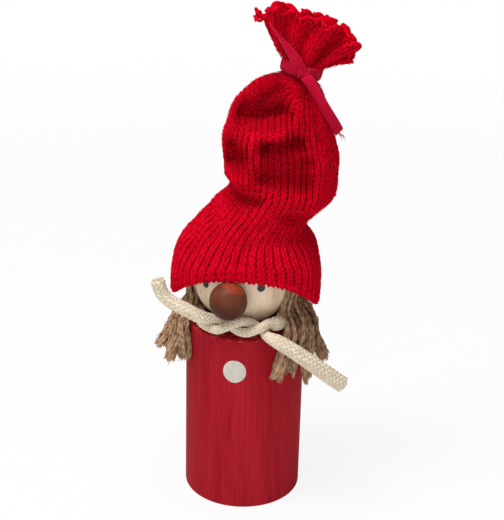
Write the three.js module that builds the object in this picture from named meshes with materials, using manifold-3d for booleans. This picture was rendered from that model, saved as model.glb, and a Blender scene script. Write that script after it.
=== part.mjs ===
// A wooden gnome figure with a knitted hat, a cord scarf and yarn hair.
// Millimetres, +Z up. The face looks along -Y and the origin is the centre of the base.

import * as THREE from "three";
import { mergeVertices } from "three/addons/utils/BufferGeometryUtils.js";
import Module from "manifold-3d";

const wasm = await Module();
wasm.setup();

// Clearances
const SEAT_GAP = 0.3; // between a piece and what it sits on
const PAINT_GAP = 0.1; // under a painted dot
const PAINT_THICKNESS = 0.3;

// Body block
const BODY_DIAMETER = 50;
const BODY_HEIGHT = 80;
const BODY_EDGE_RADIUS = 1;

// Head ball, glued on a little off the body's axis and turned a little
const HEAD_DIAMETER = 43;
const HEAD_FLAT_DEPTH = 2.4; // how much of the ball the flat underneath takes off
const HEAD_OFFSET = -1.2;
const HEAD_TURN = THREE.MathUtils.degToRad(-3.5);

// Dowel between the head and the body
const DOWEL_DIAMETER = 8;
const DOWEL_IN_BODY = 14;
const DOWEL_IN_HEAD = 12;

// Nose bead and its peg
const NOSE_DIAMETER = 15.4;
const NOSE_SEAT_DEPTH = 2.7; // how far the head's curve is cut into the back of the nose
const NOSE_DROP = 1.6; // below the head's centre
const PEG_DIAMETER = 4;
const PEG_IN_NOSE = 6;
const PEG_IN_HEAD = 7;

// Painted dots
const EYE_DIAMETER = 3.5;
const EYE_SIDE_ANGLE = THREE.MathUtils.degToRad(32.5);
const EYE_RISE_ANGLE = THREE.MathUtils.degToRad(7);
const BUTTON_DIAMETER = 10;
const BUTTON_BELOW_TOP = 14.4;

// Scarf cord
const CORD_DIAMETER = 5.6;
const KNOT_CORD_DIAMETER = 3.8; // the soft cord is squeezed where the knot pulls it tight
const KNOT_STRAND_GAP = 0.6;
const KNOT_PITCH = 24.8; // one full turn of the two strands round each other
const KNOT_CENTRE = new THREE.Vector3(1.6, -22.6, 5.1); // above the body's top
const NECK_LOOP_RADIUS = 18.8;
const NECK_LOOP_LIFT = 0.5; // between the loop and the body's top
const NECK_LOOP_START = THREE.MathUtils.degToRad(-16); // a little in front of the neck's right side
const NECK_LOOP_POINTS = 10;
const SQUEEZE_FULL = 0.38; // share of the knot's pitch inside which the cord is squeezed
const SQUEEZE_NONE = 0.7; // share of the knot's pitch beyond which it is not

// Yarn hair, strands laid over the head from side to side
const HAIR_STRANDS = 5;
const HAIR_SPACING = 4.3;
const HAIR_WIDTH = 3.9;
const HAIR_CROWN_THICKNESS = 2.2;
const HAIR_SIDE_THICKNESS = 5;
const HAIR_TIP_THICKNESS = 3.6;
const SHOULDER_SHARE = 0.3; // of the way from the ear to the tip, where a strand passes the body's rim
const SHOULDER_RISE = 0.6; // of that point above the body's top

// Knitted hat
const HAT_TURN = THREE.MathUtils.degToRad(9.3);
const HAT_WALL = 2.5;
const HAT_SIDE_EASE = 1.9; // between the hair and the hat's wall at the sides
const HAT_FRONT_EASE = 1.5; // between the forehead and the hat's wall
const HAT_BACK_EASE = 4.5;
const BRIM_SIDE_DROP = 10.7; // brim at the ears, below the head's centre
const BRIM_BACK_DROP = 6; // brim at the back, below the brim at the ears
const BRIM_ROUNDING = 1.2;
const FOLD_ALLOWANCE = 4.5; // how far the folds may push the lining in
const RIBBON_WIDTH = 4;
const RIBBON_THICKNESS = 0.8;
const GATHER_HALF_WIDTH = 8;
const GATHER_HALF_DEPTH = 7;
const GATHER_SPREAD = 1; // how much wider the gather is at the ribbon's upper edge
const FRILL_WALL = 1.8;
const FRILL_WAVES = 6;
const FRILL_WAVE = 0.1; // depth of the waves as a share of the frill's width
const FRILL_HEIGHT = 13.5; // above the ribbon
const FRILL_HALF_WIDTH = 20.5;
const FRILL_HALF_DEPTH = 16;
const FRILL_EDGE_LIFT = 2.2; // how far the frill's edge rises and falls
const RIBBON_KNOT_HALF = [3.4, 1.9, 2.7]; // half width, depth and height

// Facets
const ROUND_SEGMENTS = 48;
const EDGE_SEGMENTS = 4;
const BALL_STEPS = 16;
const PEG_SEGMENTS = 20;
const CORD_SIDES = 10;
const CORD_STEPS = 80;
const HAIR_SIDES = 8;
const HAIR_STEPS = 36;
const HAT_COLUMNS = 28;

// Worked-out places
const BODY_RADIUS = BODY_DIAMETER / 2;
const HEAD_RADIUS = HEAD_DIAMETER / 2;
const NOSE_RADIUS = NOSE_DIAMETER / 2;
const HEAD_CENTRE_Z = BODY_HEIGHT + SEAT_GAP + HEAD_RADIUS - HEAD_FLAT_DEPTH;
const HEAD_FLAT_ANGLE = -Math.asin((HEAD_RADIUS - HEAD_FLAT_DEPTH) / HEAD_RADIUS);
const NOSE_REACH = HEAD_RADIUS + NOSE_RADIUS - NOSE_SEAT_DEPTH;
const WOOD = { roughness: 0.55, metalness: 0 };
const YARN = { roughness: 0.95, metalness: 0 };

// A mesh with its own material.
function piece(name, geometry, color, finish) {
  const material = new THREE.MeshStandardMaterial({ color, ...finish });
  const mesh = new THREE.Mesh(geometry, material);
  mesh.name = name;
  return mesh;
}

// A closed geometry as a solid that can be cut and joined.
function toSolid(geometry) {
  const bare = geometry.clone();
  bare.deleteAttribute("normal");
  bare.deleteAttribute("uv");
  const merged = mergeVertices(bare, 1e-4);
  const triVerts = [];
  for (let i = 0; i < merged.index.count; i += 3) {
    const [a, b, c] = merged.index.array.slice(i, i + 3);
    if (a !== b && b !== c && c !== a) triVerts.push(a, b, c);
  }
  return new wasm.Manifold(
    new wasm.Mesh({
      numProp: 3,
      vertProperties: merged.attributes.position.array,
      triVerts: new Uint32Array(triVerts),
    }),
  );
}

function toGeometry(solid) {
  const mesh = solid.getMesh();
  const geometry = new THREE.BufferGeometry();
  geometry.setAttribute("position", new THREE.BufferAttribute(mesh.vertProperties, 3));
  geometry.setIndex(new THREE.BufferAttribute(mesh.triVerts, 1));
  return geometry;
}

// A profile of [radius, height] points turned round the Z axis.
function turned(profile, segments) {
  const points = profile.map(([radius, height]) => new THREE.Vector2(radius, height));
  return new THREE.LatheGeometry(points, segments).rotateX(Math.PI / 2);
}

// Points of a quarter or longer arc, as [radius, height].
function arc(centreRadius, centreHeight, radius, from, to, steps) {
  const points = [];
  for (let i = 0; i <= steps; i++) {
    const angle = from + ((to - from) * i) / steps;
    points.push([centreRadius + radius * Math.cos(angle), centreHeight + radius * Math.sin(angle)]);
  }
  return points;
}

// An upright rod whose lower end is at height bottom.
function rod(diameter, length, bottom) {
  const geometry = new THREE.CylinderGeometry(diameter / 2, diameter / 2, length, PEG_SEGMENTS);
  return geometry.rotateX(Math.PI / 2).translate(0, 0, bottom + length / 2);
}

// A ball round the origin, from a flat at the start angle up to its top.
// Balls with one start angle have facets that match.
function ball(radius, start) {
  const profile = arc(0, 0, radius, start, Math.PI / 2, BALL_STEPS);
  profile[profile.length - 1][0] = 0;
  return turned([[0, profile[0][1]], ...profile], ROUND_SEGMENTS);
}

// Rings of points joined into one closed skin, with a fan of faces over each end.
function loft(rings) {
  const count = rings[0].length;
  const positions = rings.flat().flatMap((p) => [p.x, p.y, p.z]);
  const index = [];
  for (let r = 0; r + 1 < rings.length; r++) {
    for (let i = 0; i < count; i++) {
      const a = r * count + i;
      const b = r * count + ((i + 1) % count);
      index.push(a, b, a + count, b, b + count, a + count);
    }
  }
  for (const [ring, first] of [[rings[0], 0], [rings.at(-1), (rings.length - 1) * count]]) {
    const middle = new THREE.Vector3();
    for (const p of ring) middle.addScaledVector(p, 1 / count);
    const hub = positions.length / 3;
    positions.push(middle.x, middle.y, middle.z);
    for (let i = 0; i < count; i++) {
      const a = first + i;
      const b = first + ((i + 1) % count);
      if (first === 0) index.push(hub, b, a);
      else index.push(hub, a, b);
    }
  }
  const geometry = new THREE.BufferGeometry();
  geometry.setAttribute("position", new THREE.Float32BufferAttribute(positions, 3));
  geometry.setIndex(index);
  return geometry;
}

// An oval section of 2 x halfSide by 2 x halfRise, square to the direction ahead.
function ovalRing(centre, ahead, side, halfSide, halfRise, sides) {
  const across = side.clone().addScaledVector(ahead, -side.dot(ahead)).normalize();
  const rise = new THREE.Vector3().crossVectors(ahead, across);
  const ring = [];
  for (let i = 0; i < sides; i++) {
    const angle = (2 * Math.PI * i) / sides;
    const point = centre.clone().addScaledVector(across, halfSide * Math.cos(angle));
    ring.push(point.addScaledVector(rise, halfRise * Math.sin(angle)));
  }
  return ring;
}

// The red block: rounded edges, and a blind hole for the dowel.
function bodyBlock() {
  const edge = BODY_EDGE_RADIUS;
  const quarter = Math.PI / 2;
  const shell = turned(
    [
      [0, 0],
      ...arc(BODY_RADIUS - edge, edge, edge, -quarter, 0, EDGE_SEGMENTS),
      ...arc(BODY_RADIUS - edge, BODY_HEIGHT - edge, edge, 0, quarter, EDGE_SEGMENTS),
      [0, BODY_HEIGHT],
    ],
    ROUND_SEGMENTS,
  );
  const depth = DOWEL_IN_BODY + SEAT_GAP;
  const hole = rod(DOWEL_DIAMETER + 2 * SEAT_GAP, depth + 1, BODY_HEIGHT - depth);
  hole.translate(HEAD_OFFSET, 0, 0);
  return toGeometry(toSolid(shell).subtract(toSolid(hole)));
}

// The head: a ball with a flat underneath, a dowel hole and a hole for the nose's peg.
function headBall() {
  const floor = HEAD_FLAT_DEPTH - HEAD_RADIUS;
  const dowelHole = rod(DOWEL_DIAMETER + 2 * SEAT_GAP, DOWEL_IN_HEAD + SEAT_GAP + 1, floor - 1);
  const pegDepth = PEG_IN_HEAD + SEAT_GAP;
  const pegHole = rod(PEG_DIAMETER + 2 * SEAT_GAP, pegDepth + HEAD_RADIUS, HEAD_RADIUS - pegDepth);
  pegHole.rotateX(Math.PI / 2).translate(0, 0, -NOSE_DROP);
  const solid = toSolid(ball(HEAD_RADIUS, HEAD_FLAT_ANGLE)).subtract(toSolid(dowelHole));
  return toGeometry(solid.subtract(toSolid(pegHole)));
}

// The nose: a bead whose back is dished to fit the head, bored for its peg.
function noseBall() {
  const bead = new THREE.SphereGeometry(NOSE_RADIUS, ROUND_SEGMENTS / 2, BALL_STEPS);
  bead.translate(0, -NOSE_REACH, -NOSE_DROP);
  const seat = ball(HEAD_RADIUS + SEAT_GAP, HEAD_FLAT_ANGLE);
  const bore = rod(PEG_DIAMETER + 2 * SEAT_GAP, HEAD_RADIUS + PEG_IN_NOSE + SEAT_GAP, 0);
  bore.rotateX(Math.PI / 2).translate(0, 0, -NOSE_DROP);
  return toGeometry(toSolid(bead).subtract(toSolid(seat)).subtract(toSolid(bore)));
}

function nosePeg() {
  const peg = rod(PEG_DIAMETER, PEG_IN_HEAD + PEG_IN_NOSE, HEAD_RADIUS - PEG_IN_HEAD);
  return peg.rotateX(Math.PI / 2).translate(0, 0, -NOSE_DROP);
}

// A dot of paint: the part of a thin skin over a surface that lies inside a round stick.
function paintedDot(inner, outer, stick) {
  return toGeometry(toSolid(outer).subtract(toSolid(inner)).intersect(toSolid(stick)));
}

// An eye at a side angle, positive to +X.
function eyeDot(side) {
  const inner = HEAD_RADIUS + PAINT_GAP;
  const outer = inner + PAINT_THICKNESS;
  const stick = rod(EYE_DIAMETER, HEAD_RADIUS, HEAD_RADIUS / 2);
  stick.rotateX(Math.PI / 2 - EYE_RISE_ANGLE).rotateZ(side * EYE_SIDE_ANGLE);
  return paintedDot(ball(inner, HEAD_FLAT_ANGLE), ball(outer, HEAD_FLAT_ANGLE), stick);
}

// The button on the body's front.
function buttonDot() {
  const middle = BODY_HEIGHT - BUTTON_BELOW_TOP;
  const inner = BODY_RADIUS + PAINT_GAP;
  const outer = inner + PAINT_THICKNESS;
  const column = (radius, margin) => {
    const low = middle - BUTTON_DIAMETER / 2 - margin;
    const high = middle + BUTTON_DIAMETER / 2 + margin;
    return turned([[0, low], [radius, low], [radius, high], [0, high]], ROUND_SEGMENTS);
  };
  const stick = new THREE.CylinderGeometry(
    BUTTON_DIAMETER / 2,
    BUTTON_DIAMETER / 2,
    BODY_RADIUS,
    ROUND_SEGMENTS / 2,
  );
  stick.translate(0, -BODY_RADIUS, middle);
  return paintedDot(column(inner, 2), column(outer, 1), stick);
}

// A point of one strand in the knot: turn 0 is nearest the viewer, a quarter turn is on top.
function knotPoint(along, turn) {
  const radius = (KNOT_CORD_DIAMETER + KNOT_STRAND_GAP) / 2;
  const angle = 2 * Math.PI * turn;
  const offset = new THREE.Vector3(along, -radius * Math.cos(angle), radius * Math.sin(angle));
  return offset.add(KNOT_CENTRE);
}

// The scarf's route from its left tip to its right tip, above the body's top.
function scarfRoute() {
  const points = [
    [-32.2, -25.4, 23.4],
    [-30.8, -25.7, 18.6],
    [-27.2, -25.8, 14.8],
    [-20.6, -25.4, 12.1],
    [-14.0, -23.4, 9.8],
  ].map((p) => new THREE.Vector3(...p));
  // The strand that dives behind the left lobe and is the right lobe.
  for (let eighth = -3; eighth <= 3; eighth++) {
    points.push(knotPoint((KNOT_PITCH * eighth) / 8, 0.75 + eighth / 8));
  }
  points.push(new THREE.Vector3(14.8, -21.6, 8.8));
  points.push(new THREE.Vector3(17.2, -16.0, 6.6));
  const loopHeight = CORD_DIAMETER / 2 + NECK_LOOP_LIFT;
  for (let i = 0; i <= NECK_LOOP_POINTS; i++) {
    const angle = NECK_LOOP_START + ((Math.PI - 2 * NECK_LOOP_START) * i) / NECK_LOOP_POINTS;
    const x = HEAD_OFFSET + NECK_LOOP_RADIUS * Math.cos(angle);
    points.push(new THREE.Vector3(x, NECK_LOOP_RADIUS * Math.sin(angle), loopHeight));
  }
  points.push(new THREE.Vector3(-17.6, -13.8, 3.6));
  points.push(new THREE.Vector3(-13.6, -21.0, 3.4));
  // The strand that is the left lobe and dives behind the right lobe.
  for (let eighth = -3; eighth <= 3; eighth++) {
    points.push(knotPoint((KNOT_PITCH * eighth) / 8, 0.25 + eighth / 8));
  }
  for (const p of [
    [14.8, -23.6, 2.7],
    [20.2, -26.8, -1.4],
    [26.8, -25.2, -6.4],
    [35.4, -21.2, -12.8],
    [44.2, -17.4, -21.0],
  ]) {
    points.push(new THREE.Vector3(...p));
  }
  return new THREE.CatmullRomCurve3(points, false, "centripetal");
}

// The cord's radius at a point: full outside the knot, squeezed within it.
function cordRadius(point) {
  const away = Math.abs(point.x - KNOT_CENTRE.x) / KNOT_PITCH;
  const inFront = point.y < KNOT_CENTRE.y + KNOT_CORD_DIAMETER;
  const squeeze = inFront ? 1 - THREE.MathUtils.smoothstep(away, SQUEEZE_FULL, SQUEEZE_NONE) : 0;
  return THREE.MathUtils.lerp(CORD_DIAMETER, KNOT_CORD_DIAMETER, squeeze) / 2;
}

// The least gap between parts of the cord that are far apart along it, on sample points.
function leastCordGap(curve) {
  const samples = curve.getSpacedPoints(500);
  const apart = Math.ceil((3 * CORD_DIAMETER) / (curve.getLength() / 500));
  let least = Infinity;
  for (let i = 0; i < samples.length; i++) {
    for (let j = i + apart; j < samples.length; j++) {
      const gap = samples[i].distanceTo(samples[j]) - cordRadius(samples[i]) - cordRadius(samples[j]);
      least = Math.min(least, gap);
    }
  }
  return least;
}

function scarfCord() {
  const curve = scarfRoute();
  const frames = curve.computeFrenetFrames(CORD_STEPS, false);
  const rings = [];
  for (let i = 0; i <= CORD_STEPS; i++) {
    const centre = curve.getPointAt(i / CORD_STEPS);
    const radius = cordRadius(centre);
    rings.push(ovalRing(centre, frames.tangents[i], frames.normals[i], radius, radius, CORD_SIDES));
  }
  const length = curve.getLength().toFixed(1);
  console.log(`scarf_cord: length ${length} mm, least gap to itself ${leastCordGap(curve).toFixed(2)} mm`);
  return loft(rings);
}

// Where each strand's two ends hang, front strand first: angle round the body from its front
// (positive to +X), distance out from the body's side, and drop below the body's top.
const HAIR_ENDS = [
  { left: [-57, 0.6, 16], right: [37.5, 0.6, 17.2] },
  { left: [-68, 2.6, 18], right: [53, 0.8, 16.6] },
  { left: [-77, 5.2, 22.4], right: [68, 2.0, 23.4] },
  { left: [-88, 9.6, 18.6], right: [91, 8.6, 13.4] },
  { left: [-101, 5.0, 20], right: [105, 5.0, 19] },
];

// A hanging end of a strand, in the head's frame, from its tip to the side of the head.
function hangingEnd(side, front, clear, [degrees, out, drop]) {
  const angle = THREE.MathUtils.degToRad(degrees);
  const reach = BODY_RADIUS + SEAT_GAP + out + HAIR_TIP_THICKNESS / 2;
  const bodyTop = BODY_HEIGHT - HEAD_CENTRE_Z;
  const tip = new THREE.Vector3(
    reach * Math.sin(angle) - HEAD_OFFSET,
    -reach * Math.cos(angle),
    bodyTop - drop,
  );
  const ear = new THREE.Vector3(
    side * (clear + HAIR_SIDE_THICKNESS / 2 + HAT_SIDE_EASE / 3),
    front,
    -BRIM_SIDE_DROP,
  );
  // Between the two the strand keeps outside the body's rim.
  const outside = (share, height, extra) => {
    const point = ear.clone().lerp(tip, share);
    const round = Math.hypot(point.x + HEAD_OFFSET, point.y);
    const least = BODY_RADIUS + 2 * SEAT_GAP + HAIR_SIDE_THICKNESS / 2 + extra;
    const push = Math.max(1, least / round);
    return new THREE.Vector3((point.x + HEAD_OFFSET) * push - HEAD_OFFSET, point.y * push, height);
  };
  const shoulder = outside(SHOULDER_SHARE, bodyTop + SHOULDER_RISE, 0);
  const middle = outside(0.6, THREE.MathUtils.lerp(bodyTop, tip.z, 0.45), out / 2);
  return [tip, middle, shoulder, ear];
}

// One strand of yarn, from its left tip over the crown to its right tip.
function hairStrand(number) {
  const front = HAIR_SPACING * (number - (HAIR_STRANDS - 1) / 2);
  const inward = Math.max(0, Math.abs(front) - HAIR_WIDTH / 2);
  const clear = Math.sqrt(HEAD_RADIUS ** 2 - inward ** 2) + SEAT_GAP;
  const ends = HAIR_ENDS[number];
  const over = [];
  for (let degrees = -80; degrees <= 80; degrees += 20) {
    const angle = THREE.MathUtils.degToRad(degrees);
    const share = Math.abs(degrees) / 90;
    const radius = clear + THREE.MathUtils.lerp(HAIR_CROWN_THICKNESS, HAIR_SIDE_THICKNESS, share) / 2;
    over.push(new THREE.Vector3(radius * Math.sin(angle), front, radius * Math.cos(angle)));
  }
  const points = [
    ...hangingEnd(-1, front, clear, ends.left),
    ...over,
    ...hangingEnd(1, front, clear, ends.right).reverse(),
  ];
  const curve = new THREE.CatmullRomCurve3(points, false, "centripetal");
  const side = new THREE.Vector3(0, 1, 0);
  const rings = [];
  for (let i = 0; i <= HAIR_STEPS; i++) {
    const along = i / HAIR_STEPS;
    const centre = curve.getPointAt(along);
    const fromMiddle = Math.abs(2 * along - 1);
    const sideShare = THREE.MathUtils.smoothstep(fromMiddle, 0.08, 0.5);
    const tipShare = THREE.MathUtils.smoothstep(fromMiddle, 0.55, 1);
    const body = THREE.MathUtils.lerp(HAIR_CROWN_THICKNESS, HAIR_SIDE_THICKNESS, sideShare);
    const thickness = THREE.MathUtils.lerp(body, HAIR_TIP_THICKNESS, tipShare);
    rings.push(ovalRing(centre, curve.getTangentAt(along), side, HAIR_WIDTH / 2, thickness / 2, HAIR_SIDES));
  }
  return loft(rings);
}

// Heights in the hat are above the head's centre. The hat's X runs across, its -Y toward the viewer.
const CUFF_HALF_WIDTH = HEAD_RADIUS + SEAT_GAP + HAIR_SIDE_THICKNESS + HAT_SIDE_EASE + HAT_WALL;
const CUFF_HALF_DEPTH = HEAD_RADIUS + HAT_WALL + (HAT_FRONT_EASE + HAT_BACK_EASE) / 2;
const CUFF_SHIFT_BACK = (HAT_BACK_EASE - HAT_FRONT_EASE) / 2;
const BRIM_FRONT_RISE = NOSE_RADIUS - NOSE_DROP + SEAT_GAP + BRIM_SIDE_DROP;
const CROWN = HEAD_RADIUS + SEAT_GAP + HAIR_CROWN_THICKNESS;

// Sections of the hat from the brim to the gather: centre across, centre back, height, half width,
// half depth, tilt in degrees (negative drops the +X side) and how square the section is.
const HAT_SECTIONS = [
  [-0.4, CUFF_SHIFT_BACK, -BRIM_SIDE_DROP, CUFF_HALF_WIDTH, CUFF_HALF_DEPTH, -3, 2.5],
  [-0.1, CUFF_SHIFT_BACK, 2.4, CUFF_HALF_WIDTH - 0.2, CUFF_HALF_DEPTH, -1, 2.5],
  [-0.1, CUFF_SHIFT_BACK, CROWN - 10.2, CUFF_HALF_WIDTH - 2.7, CUFF_HALF_DEPTH - 1.4, 0, 2.4],
  [0.6, 1, CROWN - 2.4, CUFF_HALF_WIDTH - 7.2, CUFF_HALF_DEPTH - 5, -3, 2.2],
  [7.4, 1, CROWN + 7, 18.3, 16.5, -25, 2],
  [12.4, 0, CROWN + 15.3, 22.5, 18.5, -12, 2],
  [12.6, 0, CROWN + 26.6, 23.7, 19, -6, 2],
  [12, 0, CROWN + 33.4, 23.1, 18.5, -5, 2],
  [11.8, 0, CROWN + 40.6, 21.4, 17.5, -5, 2],
  [12.5, 0, CROWN + 48.7, 18.7, 15.5, -5, 2],
  [14.4, 0, CROWN + 55.4, 15.2, 13, -5, 2],
  [16.6, 0, CROWN + 60, 11.6, 10.2, -8, 2],
  [19.2, 0, CROWN + 63, GATHER_HALF_WIDTH + 0.4, GATHER_HALF_DEPTH + 0.4, -12, 2],
  [20.2, 0, CROWN + 65.4, GATHER_HALF_WIDTH, GATHER_HALF_DEPTH, -12, 2],
];
const GATHER = HAT_SECTIONS.at(-1);

// Creases across the hat's front: height, angle round the hat, slant in mm per degree, width,
// depth and reach.
const FOLDS = [
  { height: CROWN + 48, angle: -98, slant: -0.22, width: 5.5, depth: 5, reach: 75 },
  { height: CROWN + 28.5, angle: -82, slant: -0.1, width: 5, depth: 5, reach: 85 },
];

// A section between the listed ones, at a place counted in sections.
function hatSection(place) {
  const columns = (from) => HAT_SECTIONS.map((s) => new THREE.Vector3(s[from], s[from + 1], s[from + 2]));
  const along = place / (HAT_SECTIONS.length - 1);
  const centre = new THREE.CatmullRomCurve3(columns(0)).getPoint(along);
  const [halfWidth, halfDepth, tilt] = new THREE.CatmullRomCurve3(columns(3)).getPoint(along).toArray();
  const low = Math.floor(Math.min(place, HAT_SECTIONS.length - 2));
  const square = THREE.MathUtils.lerp(HAT_SECTIONS[low][6], HAT_SECTIONS[low + 1][6], place - low);
  return { centre, halfWidth, halfDepth, tilt: THREE.MathUtils.degToRad(tilt), square };
}

// How far the folds push the wall in at a height and an angle in degrees.
function foldDepth(height, degrees) {
  let depth = 0;
  for (const fold of FOLDS) {
    const turn = THREE.MathUtils.euclideanModulo(degrees - fold.angle + 180, 360) - 180;
    if (Math.abs(turn) < fold.reach) {
      const window = Math.cos((Math.PI * turn) / (2 * fold.reach)) ** 2;
      const off = (height - fold.height - fold.slant * turn) / fold.width;
      depth += fold.depth * window * Math.exp(-off * off);
    }
  }
  return depth;
}

// The brim is high over the nose, lower at the ears and lowest behind.
function brimWave(angle) {
  const toward = -Math.sin(angle);
  const rise = Math.abs(toward) ** 1.4;
  return toward > 0 ? BRIM_FRONT_RISE * rise : -BRIM_BACK_DROP * rise;
}

// One ring of the hat, drawn in by inset. Lining rings leave the folds out.
function hatRing(place, inset, folded, lift = 0) {
  const section = hatSection(place);
  const ring = [];
  for (let i = 0; i < HAT_COLUMNS; i++) {
    const angle = (2 * Math.PI * i) / HAT_COLUMNS;
    const c = Math.cos(angle);
    const s = Math.sin(angle);
    const power = 2 / section.square;
    const height = section.centre.z;
    const fold = folded ? foldDepth(height, THREE.MathUtils.radToDeg(angle)) : 0;
    const across = Math.sign(c) * Math.abs(c) ** power * (section.halfWidth - inset - fold);
    const back = Math.sign(s) * Math.abs(s) ** power * (section.halfDepth - inset - fold);
    const fade = 1 - THREE.MathUtils.smoothstep(place, 0, 2.2);
    ring.push(
      new THREE.Vector3(
        section.centre.x + across * Math.cos(section.tilt),
        section.centre.y + back,
        height + across * Math.sin(section.tilt) + brimWave(angle) * fade + lift,
      ),
    );
  }
  return ring;
}

// Rings of the frill, up over its outside and down its inside: height above the ribbon, half width,
// half depth, depth of its waves and inset.
const FRILL_RINGS = [
  [0, GATHER_HALF_WIDTH + GATHER_SPREAD, GATHER_HALF_DEPTH + GATHER_SPREAD, 0, 0],
  [0.37 * FRILL_HEIGHT, 0.66 * FRILL_HALF_WIDTH, 0.69 * FRILL_HALF_DEPTH, 0.6 * FRILL_WAVE, 0],
  [0.81 * FRILL_HEIGHT, 0.93 * FRILL_HALF_WIDTH, 0.91 * FRILL_HALF_DEPTH, FRILL_WAVE, 0],
  [FRILL_HEIGHT, FRILL_HALF_WIDTH, FRILL_HALF_DEPTH, FRILL_WAVE, FRILL_WALL / 2],
  [0.81 * FRILL_HEIGHT, 0.93 * FRILL_HALF_WIDTH, 0.91 * FRILL_HALF_DEPTH, FRILL_WAVE, FRILL_WALL],
  [0.41 * FRILL_HEIGHT, 0.66 * FRILL_HALF_WIDTH, 0.69 * FRILL_HALF_DEPTH, 0.6 * FRILL_WAVE, 1.5 * FRILL_WALL],
  [0.15 * FRILL_HEIGHT, GATHER_HALF_WIDTH, GATHER_HALF_DEPTH, 0.2 * FRILL_WAVE, 1.5 * FRILL_WALL],
];

// One ring round the gather's axis: distance up from the gather, opening, depth of waves and inset.
function frillRing(up, halfWidth, halfDepth, wave, inset) {
  const tilt = THREE.MathUtils.degToRad(GATHER[5]);
  const axis = new THREE.Vector3(-Math.sin(tilt), 0, Math.cos(tilt));
  const across = new THREE.Vector3(Math.cos(tilt), 0, Math.sin(tilt));
  const centre = new THREE.Vector3(GATHER[0], GATHER[1], GATHER[2]).addScaledVector(axis, up);
  const ring = [];
  for (let i = 0; i < HAT_COLUMNS; i++) {
    const angle = (2 * Math.PI * i) / HAT_COLUMNS;
    const ripple = 1 + wave * Math.cos(FRILL_WAVES * angle);
    const point = centre.clone().addScaledVector(across, (halfWidth * ripple - inset) * Math.cos(angle));
    point.y += (halfDepth * ripple - inset) * Math.sin(angle);
    const lift = FRILL_EDGE_LIFT * (wave / FRILL_WAVE) * Math.min(1, up / FRILL_HEIGHT);
    ring.push(point.addScaledVector(axis, lift * Math.sin(2 * angle)));
  }
  return ring;
}

// The hat as one skin: down the lining, round the brim, up the outside and over the frill into the gather.
function knitHat() {
  const last = HAT_SECTIONS.length - 1;
  const rings = [];
  for (const place of [11, 9.5, 8, 7, 6, 5]) {
    rings.push(hatRing(place, HAT_WALL + FOLD_ALLOWANCE, false));
  }
  for (const place of [4, 3.5, 3, 2, 1]) {
    rings.push(hatRing(place, HAT_WALL, false));
  }
  rings.push(hatRing(0, HAT_WALL, false, BRIM_ROUNDING / 2));
  rings.push(hatRing(0, HAT_WALL / 2, false));
  rings.push(hatRing(0, BRIM_ROUNDING / 3, false, BRIM_ROUNDING / 2));
  rings.push(hatRing(0.15, 0, false));
  for (let place = 0.8; place < last; place += 0.6) rings.push(hatRing(place, 0, true));
  rings.push(hatRing(last, 0, true));
  for (const [up, ...opening] of FRILL_RINGS) rings.push(frillRing(RIBBON_WIDTH + up, ...opening));
  return loft(rings);
}

// A flat strip along hand-placed points, its width along the given side.
function strip(points, side) {
  const curve = new THREE.CatmullRomCurve3(points.map((p) => new THREE.Vector3(...p)));
  const steps = 2 * points.length;
  const rings = [];
  for (let i = 0; i <= steps; i++) {
    const ahead = curve.getTangentAt(i / steps);
    const across = side.clone().addScaledVector(ahead, -side.dot(ahead)).normalize();
    const rise = new THREE.Vector3().crossVectors(ahead, across);
    const corner = (u, v) =>
      curve
        .getPointAt(i / steps)
        .addScaledVector(across, (u * RIBBON_WIDTH) / 2)
        .addScaledVector(rise, (v * RIBBON_THICKNESS) / 2);
    rings.push([corner(1, -1), corner(1, 1), corner(-1, 1), corner(-1, -1)]);
  }
  return loft(rings);
}

// The ribbon: a band round the gather, its knot in front and two tails.
function tieRibbon() {
  const inside = GATHER_SPREAD + SEAT_GAP;
  const outside = inside + RIBBON_THICKNESS;
  const bandRing = (up, out) => frillRing(up, GATHER_HALF_WIDTH + out, GATHER_HALF_DEPTH + out, 0, 0);
  const outer = loft([bandRing(0, outside), bandRing(RIBBON_WIDTH, outside)]);
  const inner = loft([bandRing(-1, inside), bandRing(RIBBON_WIDTH + 1, inside)]);
  const band = toSolid(outer).subtract(toSolid(inner));
  const knotOut = GATHER_HALF_DEPTH + inside + RIBBON_KNOT_HALF[1];
  const base = new THREE.Vector3(GATHER[0], GATHER[1] - knotOut, GATHER[2] + RIBBON_WIDTH / 2);
  const knot = new THREE.SphereGeometry(1, 12, 8).scale(...RIBBON_KNOT_HALF);
  knot.translate(base.x, base.y, base.z);
  const place = (x, y, z) => [base.x + x, base.y + y, base.z + z];
  const tail = strip(
    [
      place(0.6, 0, -1),
      place(2.6, -3.4, -5),
      place(6.8, -6.6, -12),
      place(10.6, -6.6, -18.5),
      place(14.4, -5, -25),
    ],
    new THREE.Vector3(1, 0, 0.4),
  );
  const shortTail = strip(
    [place(-0.6, 0, 0.8), place(-5, -3.2, 5), place(-10, -6.8, 11.2), place(-14, -8.4, 16.8)],
    new THREE.Vector3(0.75, 0, 0.66),
  );
  return toGeometry(band.add(toSolid(knot)).add(toSolid(tail)).add(toSolid(shortTail)));
}

const gnome = new THREE.Group();

gnome.add(piece("body_block", bodyBlock(), 0xa3242d, WOOD));
gnome.add(piece("button_dot", buttonDot(), 0xc6c0b2, WOOD));

const dowel = rod(DOWEL_DIAMETER, DOWEL_IN_BODY + DOWEL_IN_HEAD, BODY_HEIGHT - DOWEL_IN_BODY);
const neckDowel = piece("neck_dowel", dowel, 0xc9ab86, WOOD);
neckDowel.position.x = HEAD_OFFSET;
gnome.add(neckDowel);

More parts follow.
